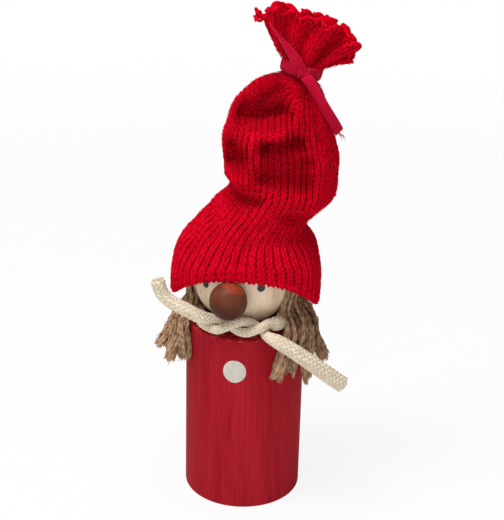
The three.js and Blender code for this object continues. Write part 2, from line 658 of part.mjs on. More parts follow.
const head = new THREE.Group();
head.position.set(HEAD_OFFSET, 0, HEAD_CENTRE_Z);
head.rotation.z = HEAD_TURN;
head.add(piece("head_ball", headBall(), 0xc4a990, WOOD));
head.add(piece("nose_ball", noseBall(), 0x663a29, { roughness: 0.35, metalness: 0 }));
head.add(piece("nose_peg", nosePeg(), 0xc9ab86, WOOD));
head.add(piece("eye_dot_left", eyeDot(1), 0x2a1a13, { roughness: 0.5, metalness: 0 }));
head.add(piece("eye_dot_right", eyeDot(-1), 0x2a1a13, { roughness: 0.5, metalness: 0 }));
gnome.add(head);

const hair = new THREE.Group();
hair.position.set(HEAD_OFFSET, 0, HEAD_CENTRE_Z);
for (let number = 0; number < HAIR_STRANDS; number++) {
  hair.add(piece(`hair_strand_${number + 1}`, hairStrand(number), 0x826249, YARN));
}
gnome.add(hair);

const scarf = piece("scarf_cord", scarfCord(), 0xc8b29d, YARN);
scarf.position.z = BODY_HEIGHT;
gnome.add(scarf);

const hat = new THREE.Group();
hat.position.z = HEAD_CENTRE_Z;
hat.rotation.z = HAT_TURN;
hat.add(piece("knit_hat", knitHat(), 0xc10421, YARN));
hat.add(piece("tie_ribbon", tieRibbon(), 0xa70d29, { roughness: 0.6, metalness: 0 }));
gnome.add(hat);

export default gnome;
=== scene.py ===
"""Looks of a wooden gnome figure with a knitted hat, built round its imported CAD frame."""

import logging
import math
from dataclasses import dataclass
from enum import Enum
from typing import Callable, Optional, Sequence, Union

import bmesh
import bpy
import numpy as np
from mathutils import Matrix, Vector


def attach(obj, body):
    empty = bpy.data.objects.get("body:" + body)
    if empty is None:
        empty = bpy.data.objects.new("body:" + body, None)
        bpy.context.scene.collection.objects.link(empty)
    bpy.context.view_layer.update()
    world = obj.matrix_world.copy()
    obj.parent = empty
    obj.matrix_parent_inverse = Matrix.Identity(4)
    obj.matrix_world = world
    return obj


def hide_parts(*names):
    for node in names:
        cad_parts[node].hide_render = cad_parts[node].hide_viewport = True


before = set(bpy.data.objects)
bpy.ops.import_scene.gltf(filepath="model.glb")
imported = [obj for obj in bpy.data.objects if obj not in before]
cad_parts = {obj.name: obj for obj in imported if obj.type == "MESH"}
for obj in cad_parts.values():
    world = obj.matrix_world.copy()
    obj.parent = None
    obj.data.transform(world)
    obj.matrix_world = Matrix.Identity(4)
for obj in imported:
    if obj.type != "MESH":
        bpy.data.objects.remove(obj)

logging.basicConfig(level=logging.INFO, format="%(message)s")
log = logging.getLogger("gnome")

MM = 0.001
SMOOTH_ANGLE = math.radians(35)
DOT_SMOOTH_ANGLE = math.radians(50)
Colour = tuple[float, float, float, float]
Point = tuple[float, float, float]
Points = Sequence[Point | np.ndarray]
Faces = list[list[int]]
Placer = Callable[[np.ndarray, np.ndarray], np.ndarray]


class Body(Enum):
    """The CAD bodies that pieces ride on."""

    FIGURE = "figure"
    HAT = "hat"


class Face(Enum):
    """The half of the hat that a crease lies on, as the sign of its outward Y."""

    FRONT = -1.0
    BACK = 1.0


def linear(red: float, green: float, blue: float) -> Colour:
    """Turns a screen colour into a scene colour.

    Args:
        red, green, blue: Screen values from 0 to 255.

    Returns:
        The linear colour with full alpha.
    """
    shares = [value / 255 for value in (red, green, blue)]
    made = [s / 12.92 if s <= 0.04045 else ((s + 0.055) / 1.055) ** 2.4 for s in shares]
    return (made[0], made[1], made[2], 1.0)


def smoothstep(value: np.ndarray, low: float, high: float) -> np.ndarray:
    """Returns 0 below low, 1 above high and a smooth ramp between."""
    share = np.clip((np.asarray(value, float) - low) / (high - low), 0, 1)
    return share * share * (3 - 2 * share)


# Shader expressions

Value = Union["Sock", float, Sequence[float]]


class Sock:
    """A shader output that takes part in Python expressions."""

    def __init__(self, tree: bpy.types.NodeTree, socket: bpy.types.NodeSocket) -> None:
        """Wraps an output socket of a node tree."""
        self.tree = tree
        self.socket = socket

    def math(self, operation: str, first: Value, second: Value = 0.0) -> "Sock":
        """Adds a Math node.

        Args:
            operation: The Math node's operation.
            first, second: Its two inputs.

        Returns:
            The node's value.
        """
        node = self.tree.nodes.new("ShaderNodeMath")
        node.operation = operation
        plug(self.tree, node.inputs[0], first)
        plug(self.tree, node.inputs[1], second)
        return Sock(self.tree, node.outputs[0])

    def __add__(self, other: Value) -> "Sock":
        """self + other."""
        return self.math("ADD", self, other)

    def __radd__(self, other: Value) -> "Sock":
        """other + self."""
        return self.math("ADD", other, self)

    def __sub__(self, other: Value) -> "Sock":
        """self - other."""
        return self.math("SUBTRACT", self, other)

    def __rsub__(self, other: Value) -> "Sock":
        """other - self."""
        return self.math("SUBTRACT", other, self)

    def __mul__(self, other: Value) -> "Sock":
        """self * other."""
        return self.math("MULTIPLY", self, other)

    def __rmul__(self, other: Value) -> "Sock":
        """other * self."""
        return self.math("MULTIPLY", other, self)

    def sine(self) -> "Sock":
        """The sine of the value, in radians."""
        return self.math("SINE", self)

    def size(self) -> "Sock":
        """The value without its sign."""
        return self.math("ABSOLUTE", self)


def plug(tree: bpy.types.NodeTree, slot: bpy.types.NodeSocket, value: Value) -> None:
    """Links a socket expression to an input, or sets the input to a constant.

    Args:
        tree: The node tree.
        slot: The input.
        value: The expression or the constant.
    """
    if isinstance(value, Sock):
        tree.links.new(value.socket, slot)
    else:
        slot.default_value = value


class Shader:
    """A material under construction."""

    def __init__(self, name: str) -> None:
        """Starts an empty node material."""
        self.material = bpy.data.materials.new(name)
        self.material.use_nodes = True
        self.tree = self.material.node_tree
        self.tree.nodes.clear()

    def node(
        self,
        kind: str,
        settings: Optional[dict[str, object]] = None,
        inputs: Optional[dict[Union[str, int], Value]] = None,
        out: Union[str, int] = 0,
    ) -> Sock:
        """Adds any node.

        Args:
            kind: The node's type name.
            settings: Its properties, set first.
            inputs: Values or links by the input's name or place.
            out: The output that is returned.

        Returns:
            The chosen output.
        """
        node = self.tree.nodes.new(kind)
        for key, value in (settings or {}).items():
            setattr(node, key, value)
        for key, value in (inputs or {}).items():
            plug(self.tree, node.inputs[key], value)
        return Sock(self.tree, node.outputs[out])

    def place(self, scale: Sequence[float] = (1, 1, 1), shift: Sequence[float] = (0, 0, 0)) -> Sock:
        """Object coordinates.

        Args:
            scale: The scale on each axis, set after the shift.
            shift: The point that becomes the origin, in metres.

        Returns:
            The coordinates as a vector.
        """
        place = self.node("ShaderNodeTexCoord", out="Object")
        for operation, by in (("SUBTRACT", shift), ("MULTIPLY", scale)):
            inputs = {0: place, 1: tuple(by)}
            place = self.node("ShaderNodeVectorMath", {"operation": operation}, inputs)
        return place

    def axis(self, vector: Sock, which: int) -> Sock:
        """One number of a vector."""
        return self.node("ShaderNodeSeparateXYZ", None, {0: vector}, which)

    def lay(self) -> tuple[Sock, Sock, Sock]:
        """The piece's own attribute.

        Returns:
            Millimetres along, turns or share across, and tone.
        """
        vector = self.node("ShaderNodeAttribute", {"attribute_name": "lay"}, out="Vector")
        split = self.node("ShaderNodeSeparateXYZ", None, {0: vector})
        return tuple(Sock(self.tree, socket) for socket in split.socket.node.outputs)

    def noise(self, vector: Sock, scale: float, detail: float = 3.0, rough: float = 0.55) -> Sock:
        """A noise value from 0 to 1."""
        inputs = {"Vector": vector, "Scale": scale, "Detail": detail, "Roughness": rough}
        return self.node("ShaderNodeTexNoise", None, inputs)

    def ramp(self, value: Sock, low: float, high: float, start: float = 0.0, end: float = 1.0) -> Sock:
        """A smooth ramp of a value from start at low to end at high."""
        inputs = {"Value": value, "From Min": low, "From Max": high, "To Min": start, "To Max": end}
        return self.node("ShaderNodeMapRange", {"interpolation_type": "SMOOTHSTEP"}, inputs)

    def mix(self, share: Value, first: Value, second: Value) -> Sock:
        """A colour between two colours."""
        return self.node("ShaderNodeMix", {"data_type": "RGBA"}, {0: share, 6: first, 7: second}, 2)

    def bump(self, height: Sock, depth: float, strength: float = 1.0) -> Sock:
        """A normal from a height of 0 to 1 that stands for depth in metres."""
        inputs = {"Height": height, "Distance": depth, "Strength": strength}
        return self.node("ShaderNodeBump", None, inputs)

    def close(self, **inputs: Value) -> bpy.types.Material:
        """Adds the surface shader and the output.

        Args:
            inputs: Principled inputs, with _ for a space.

        Returns:
            The finished material.
        """
        spaced = {key.replace("_", " "): value for key, value in inputs.items()}
        surface = self.node("ShaderNodeBsdfPrincipled", None, spaced)
        output = self.tree.nodes.new("ShaderNodeOutputMaterial")
        self.tree.links.new(surface.socket, output.inputs["Surface"])
        return self.material


# Finishes


@dataclass(frozen=True)
class StainedWood:
    """Red stain brushed on turned wood, thin along the edges."""

    name: str = "body_red_stain"
    deep: Colour = linear(142, 10, 24)
    fresh: Colour = linear(180, 34, 46)
    thin: Colour = linear(196, 84, 80)
    height: float = 80.0
    rim_width: float = 1.6
    foot_width: float = 1.4

    def material(self) -> bpy.types.Material:
        """Builds the finish.

        Returns:
            The finished material.
        """
        make = Shader(self.name)
        grain = make.noise(make.place((1, 1, 0.045)), 900, 4, 0.6)
        broad = make.noise(make.place((1, 1, 0.12)), 120, 3, 0.5)
        specks = make.ramp(make.noise(make.place(), 1500, 1), 0.70, 0.78)
        up = make.axis(make.place(), 2)
        rim = make.ramp(up, (self.height - self.rim_width) * MM, self.height * MM)
        foot = make.ramp(up, 0.0, self.foot_width * MM, 1.0, 0.0)
        scuff = make.ramp(make.noise(make.place(), 420, 4), 0.52, 0.66)
        streaks = make.ramp(grain * 0.5 + broad * 0.5, 0.22, 0.78)
        colour = make.mix(streaks, self.deep, self.fresh)
        colour = make.mix(specks * 0.35, colour, self.thin)
        colour = make.mix((rim + foot) * scuff * 0.75, colour, self.thin)
        rough = 0.58 + 0.16 * streaks
        normal = make.bump(grain * 0.7 + broad * 0.3, 0.00018, 0.5)
        return make.close(Base_Color=colour, Roughness=rough, Normal=normal, Specular_IOR_Level=0.05)


@dataclass(frozen=True)
class PaleWood:
    """Bare sanded wood with fine upright grain."""

    name: str
    pale: Colour = linear(246, 226, 200)
    warm: Colour = linear(232, 206, 176)
    pore: Colour = linear(168, 136, 106)

    def material(self) -> bpy.types.Material:
        """Builds the finish.

        Returns:
            The finished material.
        """
        make = Shader(self.name)
        rings = make.noise(make.place((1, 0.35, 0.03)), 330, 3, 0.55)
        dashes = make.noise(make.place((1, 1, 0.05)), 1300, 2, 0.5)
        patch = make.ramp(make.noise(make.place((1, 1, 0.5)), 75, 2), 0.46, 0.62)
        pores = make.ramp(dashes, 0.63, 0.70) * (0.25 + 0.75 * patch)
        colour = make.mix(make.ramp(rings, 0.35, 0.68), self.pale, self.warm)
        colour = make.mix(pores * 0.75, colour, self.pore)
        normal = make.bump(1.0 - pores, 0.00012, 0.6)
        rough = 0.55 + 0.15 * rings
        return make.close(Base_Color=colour, Roughness=rough, Normal=normal, Specular_IOR_Level=0.2)


@dataclass(frozen=True)
class NoseLacquer:
    """Brown satin lacquer, with painted shade toward the bottom and painted light along the top: orange
    specks that stand for the light and for a reflection of the red hat.
    """

    centre: Point
    radius: float
    name: str = "nose_brown_lacquer"
    # low and middle paint shade toward the bottom; the colour after them paints light and the red hat's
    # reflection along the top, and pale paints highlight specks.
    low: Colour = linear(66, 29, 15)
    middle: Colour = linear(102, 52, 34)
    painted_top_light: Colour = linear(172, 66, 40)
    pale: Colour = linear(204, 118, 76)

    def material(self) -> bpy.types.Material:
        """Builds the finish.

        Returns:
            The finished material.
        """
        make = Shader(self.name)
        local = make.place((1 / self.radius,) * 3, self.centre)
        # Painted light and shade follow the height, leaning toward +X.
        up = make.axis(local, 2) + 0.3 * make.axis(local, 0)
        wobble = make.noise(make.place(), 260, 4) - 0.5
        band = make.ramp(up + 0.3 * wobble, 0.72, 0.98)
        speck = make.ramp(make.noise(make.place(), 1900, 3), 0.50, 0.60)
        # Painted shade: darker toward the bottom, lighter toward the top.
        colour = make.mix(make.ramp(up, -0.6, 0.5), self.low, self.middle)
        # Painted light and painted reflection of the red hat: an orange band along the top and the +X
        # side, broken into specks.
        colour = make.mix(band * (0.45 + 0.55 * speck), colour, self.painted_top_light)
        # Painted highlights: pale specks within that band.
        light = make.ramp(make.noise(make.place(), 2400, 2), 0.64, 0.70)
        colour = make.mix(band * light * 0.8, colour, self.pale)
        rough = 0.40 + 0.2 * band
        normal = make.bump(make.noise(make.place((1, 1, 0.3)), 700, 3), 0.00008, 0.3)
        return make.close(Base_Color=colour, Roughness=rough, Normal=normal, Specular_IOR_Level=0.12)


@dataclass(frozen=True)
class DotPaint:
    """A dab of matte paint with faint brush marks."""

    name: str
    colour: Colour
    shade: Colour
    rough: float

    def material(self) -> bpy.types.Material:
        """Builds the finish.

        Returns:
            The finished material.
        """
        make = Shader(self.name)
        dabs = make.noise(make.place((1, 1, 0.35)), 700, 4)
        colour = make.mix(make.ramp(dabs, 0.35, 0.7), self.shade, self.colour)
        normal = make.bump(dabs, 0.00015, 0.4)
        return make.close(Base_Color=colour, Roughness=self.rough + 0.1 * dabs, Normal=normal)


@dataclass(frozen=True)
class Yarn:
    """Twisted thread or fibre: its plies run round it, its tone changes from one strand to the next,
    and the grooves between plies carry painted shade.
    """

    name: str
    dark: Colour
    bright: Colour
    speck: Colour
    speck_share: float
    turns_per_mm: float
    ply_depth: float
    sheen: float
    rough: float = 0.85
    gloss: float = 0.15

    def material(self) -> bpy.types.Material:
        """Builds the finish.

        Returns:
            The finished material.
        """
        make = Shader(self.name)
        along, around, tone = make.lay()
        ply = 0.5 + 0.5 * ((along * self.turns_per_mm + around) * (2 * math.pi)).sine()
        fibre = make.noise(make.place(), 2600, 2)
        blotch = make.noise(make.place(), 160, 3)
        # Painted shade: the ply wave, which is also the bump's height, darkens the grooves between
        # plies.
        share = 0.5 * tone + 0.3 * blotch + 0.25 * fibre + 0.18 * ply - 0.1
        colour = make.mix(make.ramp(share, 0.2, 0.85), self.dark, self.bright)
        specks = make.ramp(make.noise(make.place(), 1300, 1), 0.70, 0.75)
        colour = make.mix(specks * self.speck_share, colour, self.speck)
        normal = make.bump(0.7 * ply + 0.3 * fibre, self.ply_depth, 0.6)
        return make.close(
            Base_Color=colour,
            Roughness=self.rough + 0.1 * fibre,
            Normal=normal,
            Specular_IOR_Level=self.gloss,
            Sheen_Weight=self.sheen,
            Sheen_Roughness=0.5,
            Sheen_Tint=self.bright,
        )


@dataclass(frozen=True)
class WovenRibbon:
    """Narrow plain-woven ribbon with a paler thread along each edge."""

    name: str = "ribbon_weave"
    thread: Colour = linear(236, 16, 62)
    shade: Colour = linear(184, 8, 46)
    edge: Colour = linear(206, 50, 78)
    weft_pitch: float = 0.55
    warp_threads: int = 9

    def material(self) -> bpy.types.Material:
        """Builds the finish.

        Returns:
            The finished material.
        """
        make = Shader(self.name)
        along, across, _ = make.lay()
        weft = (along * (2 * math.pi / self.weft_pitch)).sine()
        warp = (across * (2 * math.pi * self.warp_threads)).sine()
        weave = 0.5 + 0.5 * (weft * warp)
        near_edge = make.ramp((across - 0.5).size(), 0.41, 0.47)
        patches = make.noise(make.place(), 260, 3)
        colour = make.mix(0.55 * weave + 0.45 * patches, self.shade, self.thread)
        colour = make.mix(near_edge * 0.6, colour, self.edge)
        normal = make.bump(weave, 0.0003, 0.9)
        rough = 0.7 + 0.15 * weave
        return make.close(Base_Color=colour, Roughness=rough, Normal=normal, Specular_IOR_Level=0.08)


# Modelling helpers


def deselect() -> None:
    """Leaves edit mode and deselects every object."""
    if bpy.context.object is not None and bpy.context.object.mode != "OBJECT":
        bpy.ops.object.mode_set(mode="OBJECT")
    bpy.ops.object.select_all(action="DESELECT")


def named(name: str) -> bpy.types.Object:
    """Names the object just added and applies its place to its mesh.

    Args:
        name: The piece's name.

    Returns:
        The object.
    """
    piece = bpy.context.object
    piece.name = name
    piece.data.name = name
    bpy.ops.object.transform_apply(location=True, rotation=True, scale=True)
    return piece


def apply_modifier(piece: bpy.types.Object, kind: str, **settings: object) -> None:
    """Adds a modifier to a selected piece and applies it.

    Args:
        piece: The piece.
        kind: The modifier's type.
        settings: The modifier's properties.
    """
    modifier = piece.modifiers.new(kind.lower(), kind)
    for key, value in settings.items():
        setattr(modifier, key, value)
    bpy.context.view_layer.objects.active = piece
    bpy.ops.object.modifier_apply(modifier=modifier.name)


def mesh_piece(
    name: str,
    verts: np.ndarray,
    faces: Sequence[Sequence[int]],
    lay: Optional[np.ndarray] = None,
) -> bpy.types.Object:
    """Makes a mesh object at the origin.

    Args:
        name: The piece's name.
        verts: Points in millimetres, in the figure's frame.
        faces: Point numbers of each face, or an array of them.
        lay: The "lay" attribute of each point.

    Returns:
        The new object, shaded smooth.
    """
    mesh = bpy.data.meshes.new(name)
    listed = faces.tolist() if isinstance(faces, np.ndarray) else faces
    mesh.from_pydata((np.asarray(verts) * MM).tolist(), [], listed)
    if lay is not None:
        attribute = mesh.attributes.new("lay", "FLOAT_VECTOR", "POINT")
        attribute.data.foreach_set("vector", np.asarray(lay, np.float32).ravel())
    mesh.polygons.foreach_set("use_smooth", np.ones(len(mesh.polygons), bool))
    mesh.update()
    piece = bpy.data.objects.new(name, mesh)
    bpy.context.scene.collection.objects.link(piece)
    return piece


def settle(
    piece: bpy.types.Object, body: Body, slot: str, look: bpy.types.Material, *nodes: str
) -> None:
    """Dresses a piece, lets it ride on a body and hides the CAD nodes that it stands for.

    Args:
        piece: The finished piece.
        body: The CAD body that carries it.
        slot: A material slot name; not used.
        look: Its material.
        nodes: CAD nodes that it replaces.
    """
    piece.data.materials.clear()
    piece.data.materials.append(look)
    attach(piece, body.value)
    if nodes:
        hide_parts(*nodes)
    log.info("%s: %d faces on %s", piece.name, len(piece.data.polygons), body.value)


def catmull(points: Points, per_span: int = 24) -> np.ndarray:
    """A centripetal Catmull-Rom line through points.

    Args:
        points: The points to pass.
        per_span: Steps between two of them.

    Returns:
        The line's points.
    """
    given = np.asarray(points, float)
    padded = np.vstack([2 * given[0] - given[1], given, 2 * given[-1] - given[-2]])
    share = np.linspace(0, 1, per_span, endpoint=False)[:, None]
    spans = []
    for p0, p1, p2, p3 in zip(padded, padded[1:], padded[2:], padded[3:]):
        d0, d1, d2 = (np.linalg.norm(b - a) ** 0.5 for a, b in ((p0, p1), (p1, p2), (p2, p3)))
        leave = ((p1 - p0) / d0 - (p2 - p0) / (d0 + d1) + (p2 - p1) / d1) * d1
        reach = ((p2 - p1) / d1 - (p3 - p1) / (d1 + d2) + (p3 - p2) / d2) * d1
        square = -3 * p1 + 3 * p2 - 2 * leave - reach
        cube = 2 * p1 - 2 * p2 + leave + reach
        spans.append(p1 + leave * share + square * share**2 + cube * share**3)
    return np.vstack([*spans, given[-1:]])


def run_lengths(line: np.ndarray) -> np.ndarray:
    """The length along a line at each of its points."""
    return np.concatenate([[0], np.cumsum(np.linalg.norm(np.diff(line, axis=0), axis=1))])


def even(line: np.ndarray, count: int) -> np.ndarray:
    """Spaces a line's points evenly.

    Args:
        line: The line's points.
        count: How many points are wanted.

    Returns:
        Points at even lengths along the line.
    """
    lengths = run_lengths(line)
    wanted = np.linspace(0, lengths[-1], count)
    return np.stack([np.interp(wanted, lengths, line[:, i]) for i in range(3)], 1)


def unit(vectors: np.ndarray) -> np.ndarray:
    """Vectors with length one."""
    return vectors / np.maximum(np.linalg.norm(vectors, axis=-1, keepdims=True), 1e-12)


def carried_frames(line: np.ndarray, start: Sequence[float]) -> tuple[np.ndarray, np.ndarray]:
    """Two directions across a line that turn no more than the line does.

    Args:
        line: Points of the line.
        start: A direction that the first one lies near.

    Returns:
        The two directions at each point.
    """
    ahead = unit(np.gradient(line, axis=0))
    side = np.asarray(start, float)
    sides = []
    for tangent in ahead:
        side = unit(side - tangent * (side @ tangent))
        sides.append(side)
    sides = np.array(sides)
    return sides, np.cross(ahead, sides)


def tube_faces(tubes: int, steps: int, sides: int) -> Faces:
    """Faces of closed tubes whose points are counted tube by tube, step by step, round each step.

    Args:
        tubes: How many tubes.
        steps: Rings in a tube.
        sides: Points in a ring.

    Returns:
        Quads along the tubes and one face over each end.
    """
    ring = np.arange(sides)
    nxt = (ring + 1) % sides
    step = np.arange(steps - 1)[:, None] * sides
    quads = np.stack([step + ring, step + nxt, step + sides + nxt, step + sides + ring], -1)
    quads = quads.reshape(-1, 4)
    first = np.arange(tubes)[:, None, None] * steps * sides
    walls = (quads[None] + first).reshape(-1, 4).tolist()
    starts = (ring[::-1][None] + first[:, 0]).tolist()
    ends = (ring[None] + first[:, 0] + (steps - 1) * sides).tolist()
    return walls + starts + ends


def tube_lay(rings: np.ndarray, along: np.ndarray, tone: np.ndarray) -> np.ndarray:
    """The "lay" attribute of tubes.

    Args:
        rings: Points by tube, step and side.
        along: Millimetres along, in a shape that fits the tubes, steps and sides.
        tone: Lightness, in a shape that fits them too.

    Returns:
        The attribute of each point in turn.
    """
    lay = np.zeros(rings.shape)
    lay[..., 0] = along
    lay[..., 1] = np.arange(rings.shape[2]) / rings.shape[2]
    lay[..., 2] = tone
    return lay.reshape(-1, 3)


def tubes_along(
    lines: np.ndarray,
    sides: int,
    half_a: np.ndarray,
    half_b: np.ndarray,
    reference: Sequence[float] | np.ndarray,
) -> np.ndarray:
    """Rings of points round many lines at once.

    Args:
        lines: Points by tube and step.
        sides: Points in a ring.
        half_a: Half widths toward the reference direction, by tube and step.
        half_b: Half widths across it.
        reference: A direction for each point, or one for all.

    Returns:
        Points by tube, step and side.
    """
    ahead = unit(np.gradient(lines, axis=1))
    wanted = np.broadcast_to(reference, lines.shape)
    first = unit(wanted - ahead * np.sum(wanted * ahead, -1, keepdims=True))
    second = np.cross(ahead, first)
    angle = 2 * np.pi * np.arange(sides) / sides
    out = first[:, :, None] * (np.cos(angle)[:, None] * half_a[:, :, None, None])
    out = out + second[:, :, None] * (np.sin(angle)[:, None] * half_b[:, :, None, None])
    return lines[:, :, None] + out


def wander(share: np.ndarray, rng: np.random.Generator, waves: Sequence[float]) -> np.ndarray:
    """Smooth random sways along many fibres.

    Args:
        share: Steps from 0 to 1, by fibre and step.
        rng: The source of chance.
        waves: How many waves each layer has over the whole length.

    Returns:
        A sway in three directions, about one unit high.
    """
    count = share.shape[0]
    total = np.zeros((*share.shape, 3))
    for wave in waves:
        phase = rng.uniform(0, 2 * np.pi, (count, 1, 3))
        pace = wave * rng.uniform(0.7, 1.3, (count, 1, 3))
        size = rng.normal(0, 1 / math.sqrt(len(waves)), (count, 1, 3))
        total += size * np.sin(2 * np.pi * pace * share[..., None] + phase)
    return total


def paint_dot(name: str, radius: float, lift: float, place: Placer) -> bpy.types.Object:
    """A round dab of paint, thickest in its middle, laid on a curved surface.

    Args:
        name: The piece's name.
        radius: Its radius in millimetres.
        lift: Its thickness in millimetres.
        place: A function from flat points and heights to points of the figure.

    Returns:
        The closed piece.
    """
    deselect()
    bpy.ops.mesh.primitive_circle_add(vertices=48, radius=radius * MM, fill_type="NGON")
    dot = named(name)
    bpy.ops.object.mode_set(mode="EDIT")
    bpy.ops.mesh.select_all(action="SELECT")
    for share in (0.05, 0.12, 0.3, 0.3):
        bpy.ops.mesh.inset(thickness=radius * share * MM)
    bpy.ops.mesh.poke()
    bpy.ops.object.mode_set(mode="OBJECT")
    flat = np.array([vertex.co for vertex in dot.data.vertices]) / MM
    reach = np.linalg.norm(flat[:, :2], axis=1)
    edge = 0.004 * radius * np.sin(5 * np.arctan2(flat[:, 1], flat[:, 0]) + 0.6) * (reach / radius) ** 4
    flat[:, :2] *= (1 - edge / np.maximum(reach, 1e-6))[:, None]
    height = lift * np.sqrt(np.clip(1 - (reach / radius) ** 6, 0, 1)) + 0.12
    for vertex, point in zip(dot.data.vertices, place(flat, height)):
        vertex.co = Vector(point) * MM
    apply_modifier(dot, "SOLIDIFY", thickness=0.1 * MM, offset=-1.0)
    bpy.ops.object.mode_set(mode="EDIT")
    bpy.ops.mesh.select_all(action="SELECT")
    bpy.ops.mesh.normals_make_consistent(inside=False)
    bpy.ops.object.mode_set(mode="OBJECT")
    bpy.ops.object.shade_smooth_by_angle(angle=DOT_SMOOTH_ANGLE)
    return dot


# The wooden figure


@dataclass
class BodyBlock:
    """The red block and the white dot on its front, in millimetres."""

    diameter: float = 50.0
    height: float = 80.0
    edge: float = 1.0
    segments: int = 160
    dot_diameter: float = 9.6
    dot_below_top: float = 14.4
    dot_lift: float = 0.18
    dot_stretch: float = 1.06
    dot_look: DotPaint = DotPaint(
        "button_white_paint", linear(214, 209, 196), linear(202, 197, 182), 0.55
    )

    def build(self) -> bpy.types.Object:
        """Turns the block and rounds its rims.

        Returns:
            The block.
        """
        deselect()
        bpy.ops.mesh.primitive_cylinder_add(
            vertices=self.segments,
            radius=self.diameter / 2 * MM,
            depth=self.height * MM,
            location=(0, 0, self.height / 2 * MM),
        )
        block = named("body_turning")
        bpy.ops.object.mode_set(mode="EDIT")
        mesh = bmesh.from_edit_mesh(block.data)
        for edge in mesh.edges:
            level = abs(edge.verts[0].co.z - edge.verts[1].co.z) < 1e-6
            edge.select_set(level)
        bmesh.update_edit_mesh(block.data)
        bpy.ops.mesh.bevel(offset=self.edge * MM, segments=5, affect="EDGES")
        bpy.ops.mesh.select_all(action="DESELECT")
        mesh = bmesh.from_edit_mesh(block.data)
        for face in mesh.faces:
            face.select_set(abs(face.normal.z) > 0.999)
        bmesh.update_edit_mesh(block.data)
        bpy.ops.mesh.inset(thickness=self.diameter / 8 * MM)
        bpy.ops.object.mode_set(mode="OBJECT")
        bpy.ops.object.shade_smooth_by_angle(angle=SMOOTH_ANGLE)
        return block

    def build_dot(self) -> bpy.types.Object:
        """Lays the dot of paint on the block's front.

        Returns:
            The dot.
        """
        radius = self.diameter / 2
        middle = self.height - self.dot_below_top

        def on_block(flat: np.ndarray, lift: np.ndarray) -> np.ndarray:
            """Wraps flat points round the block.

            Args:
                flat: Points of the flat dot.
                lift: Their heights over the block.

            Returns:
                Points of the figure.
            """
            turn = flat[:, 0] / radius
            reach = radius + lift
            height = middle + self.dot_stretch * flat[:, 1]
            return np.stack([reach * np.sin(turn), -reach * np.cos(turn), height], 1)

        return paint_dot("button_paint", self.dot_diameter / 2, self.dot_lift, on_block)

    def dress(self) -> None:
        """Builds both and sets their finishes."""
        settle(self.build(), Body.FIGURE, "body_red", StainedWood().material(), "body_block")
        settle(self.build_dot(), Body.FIGURE, "dot_white", self.dot_look.material(), "button_dot")


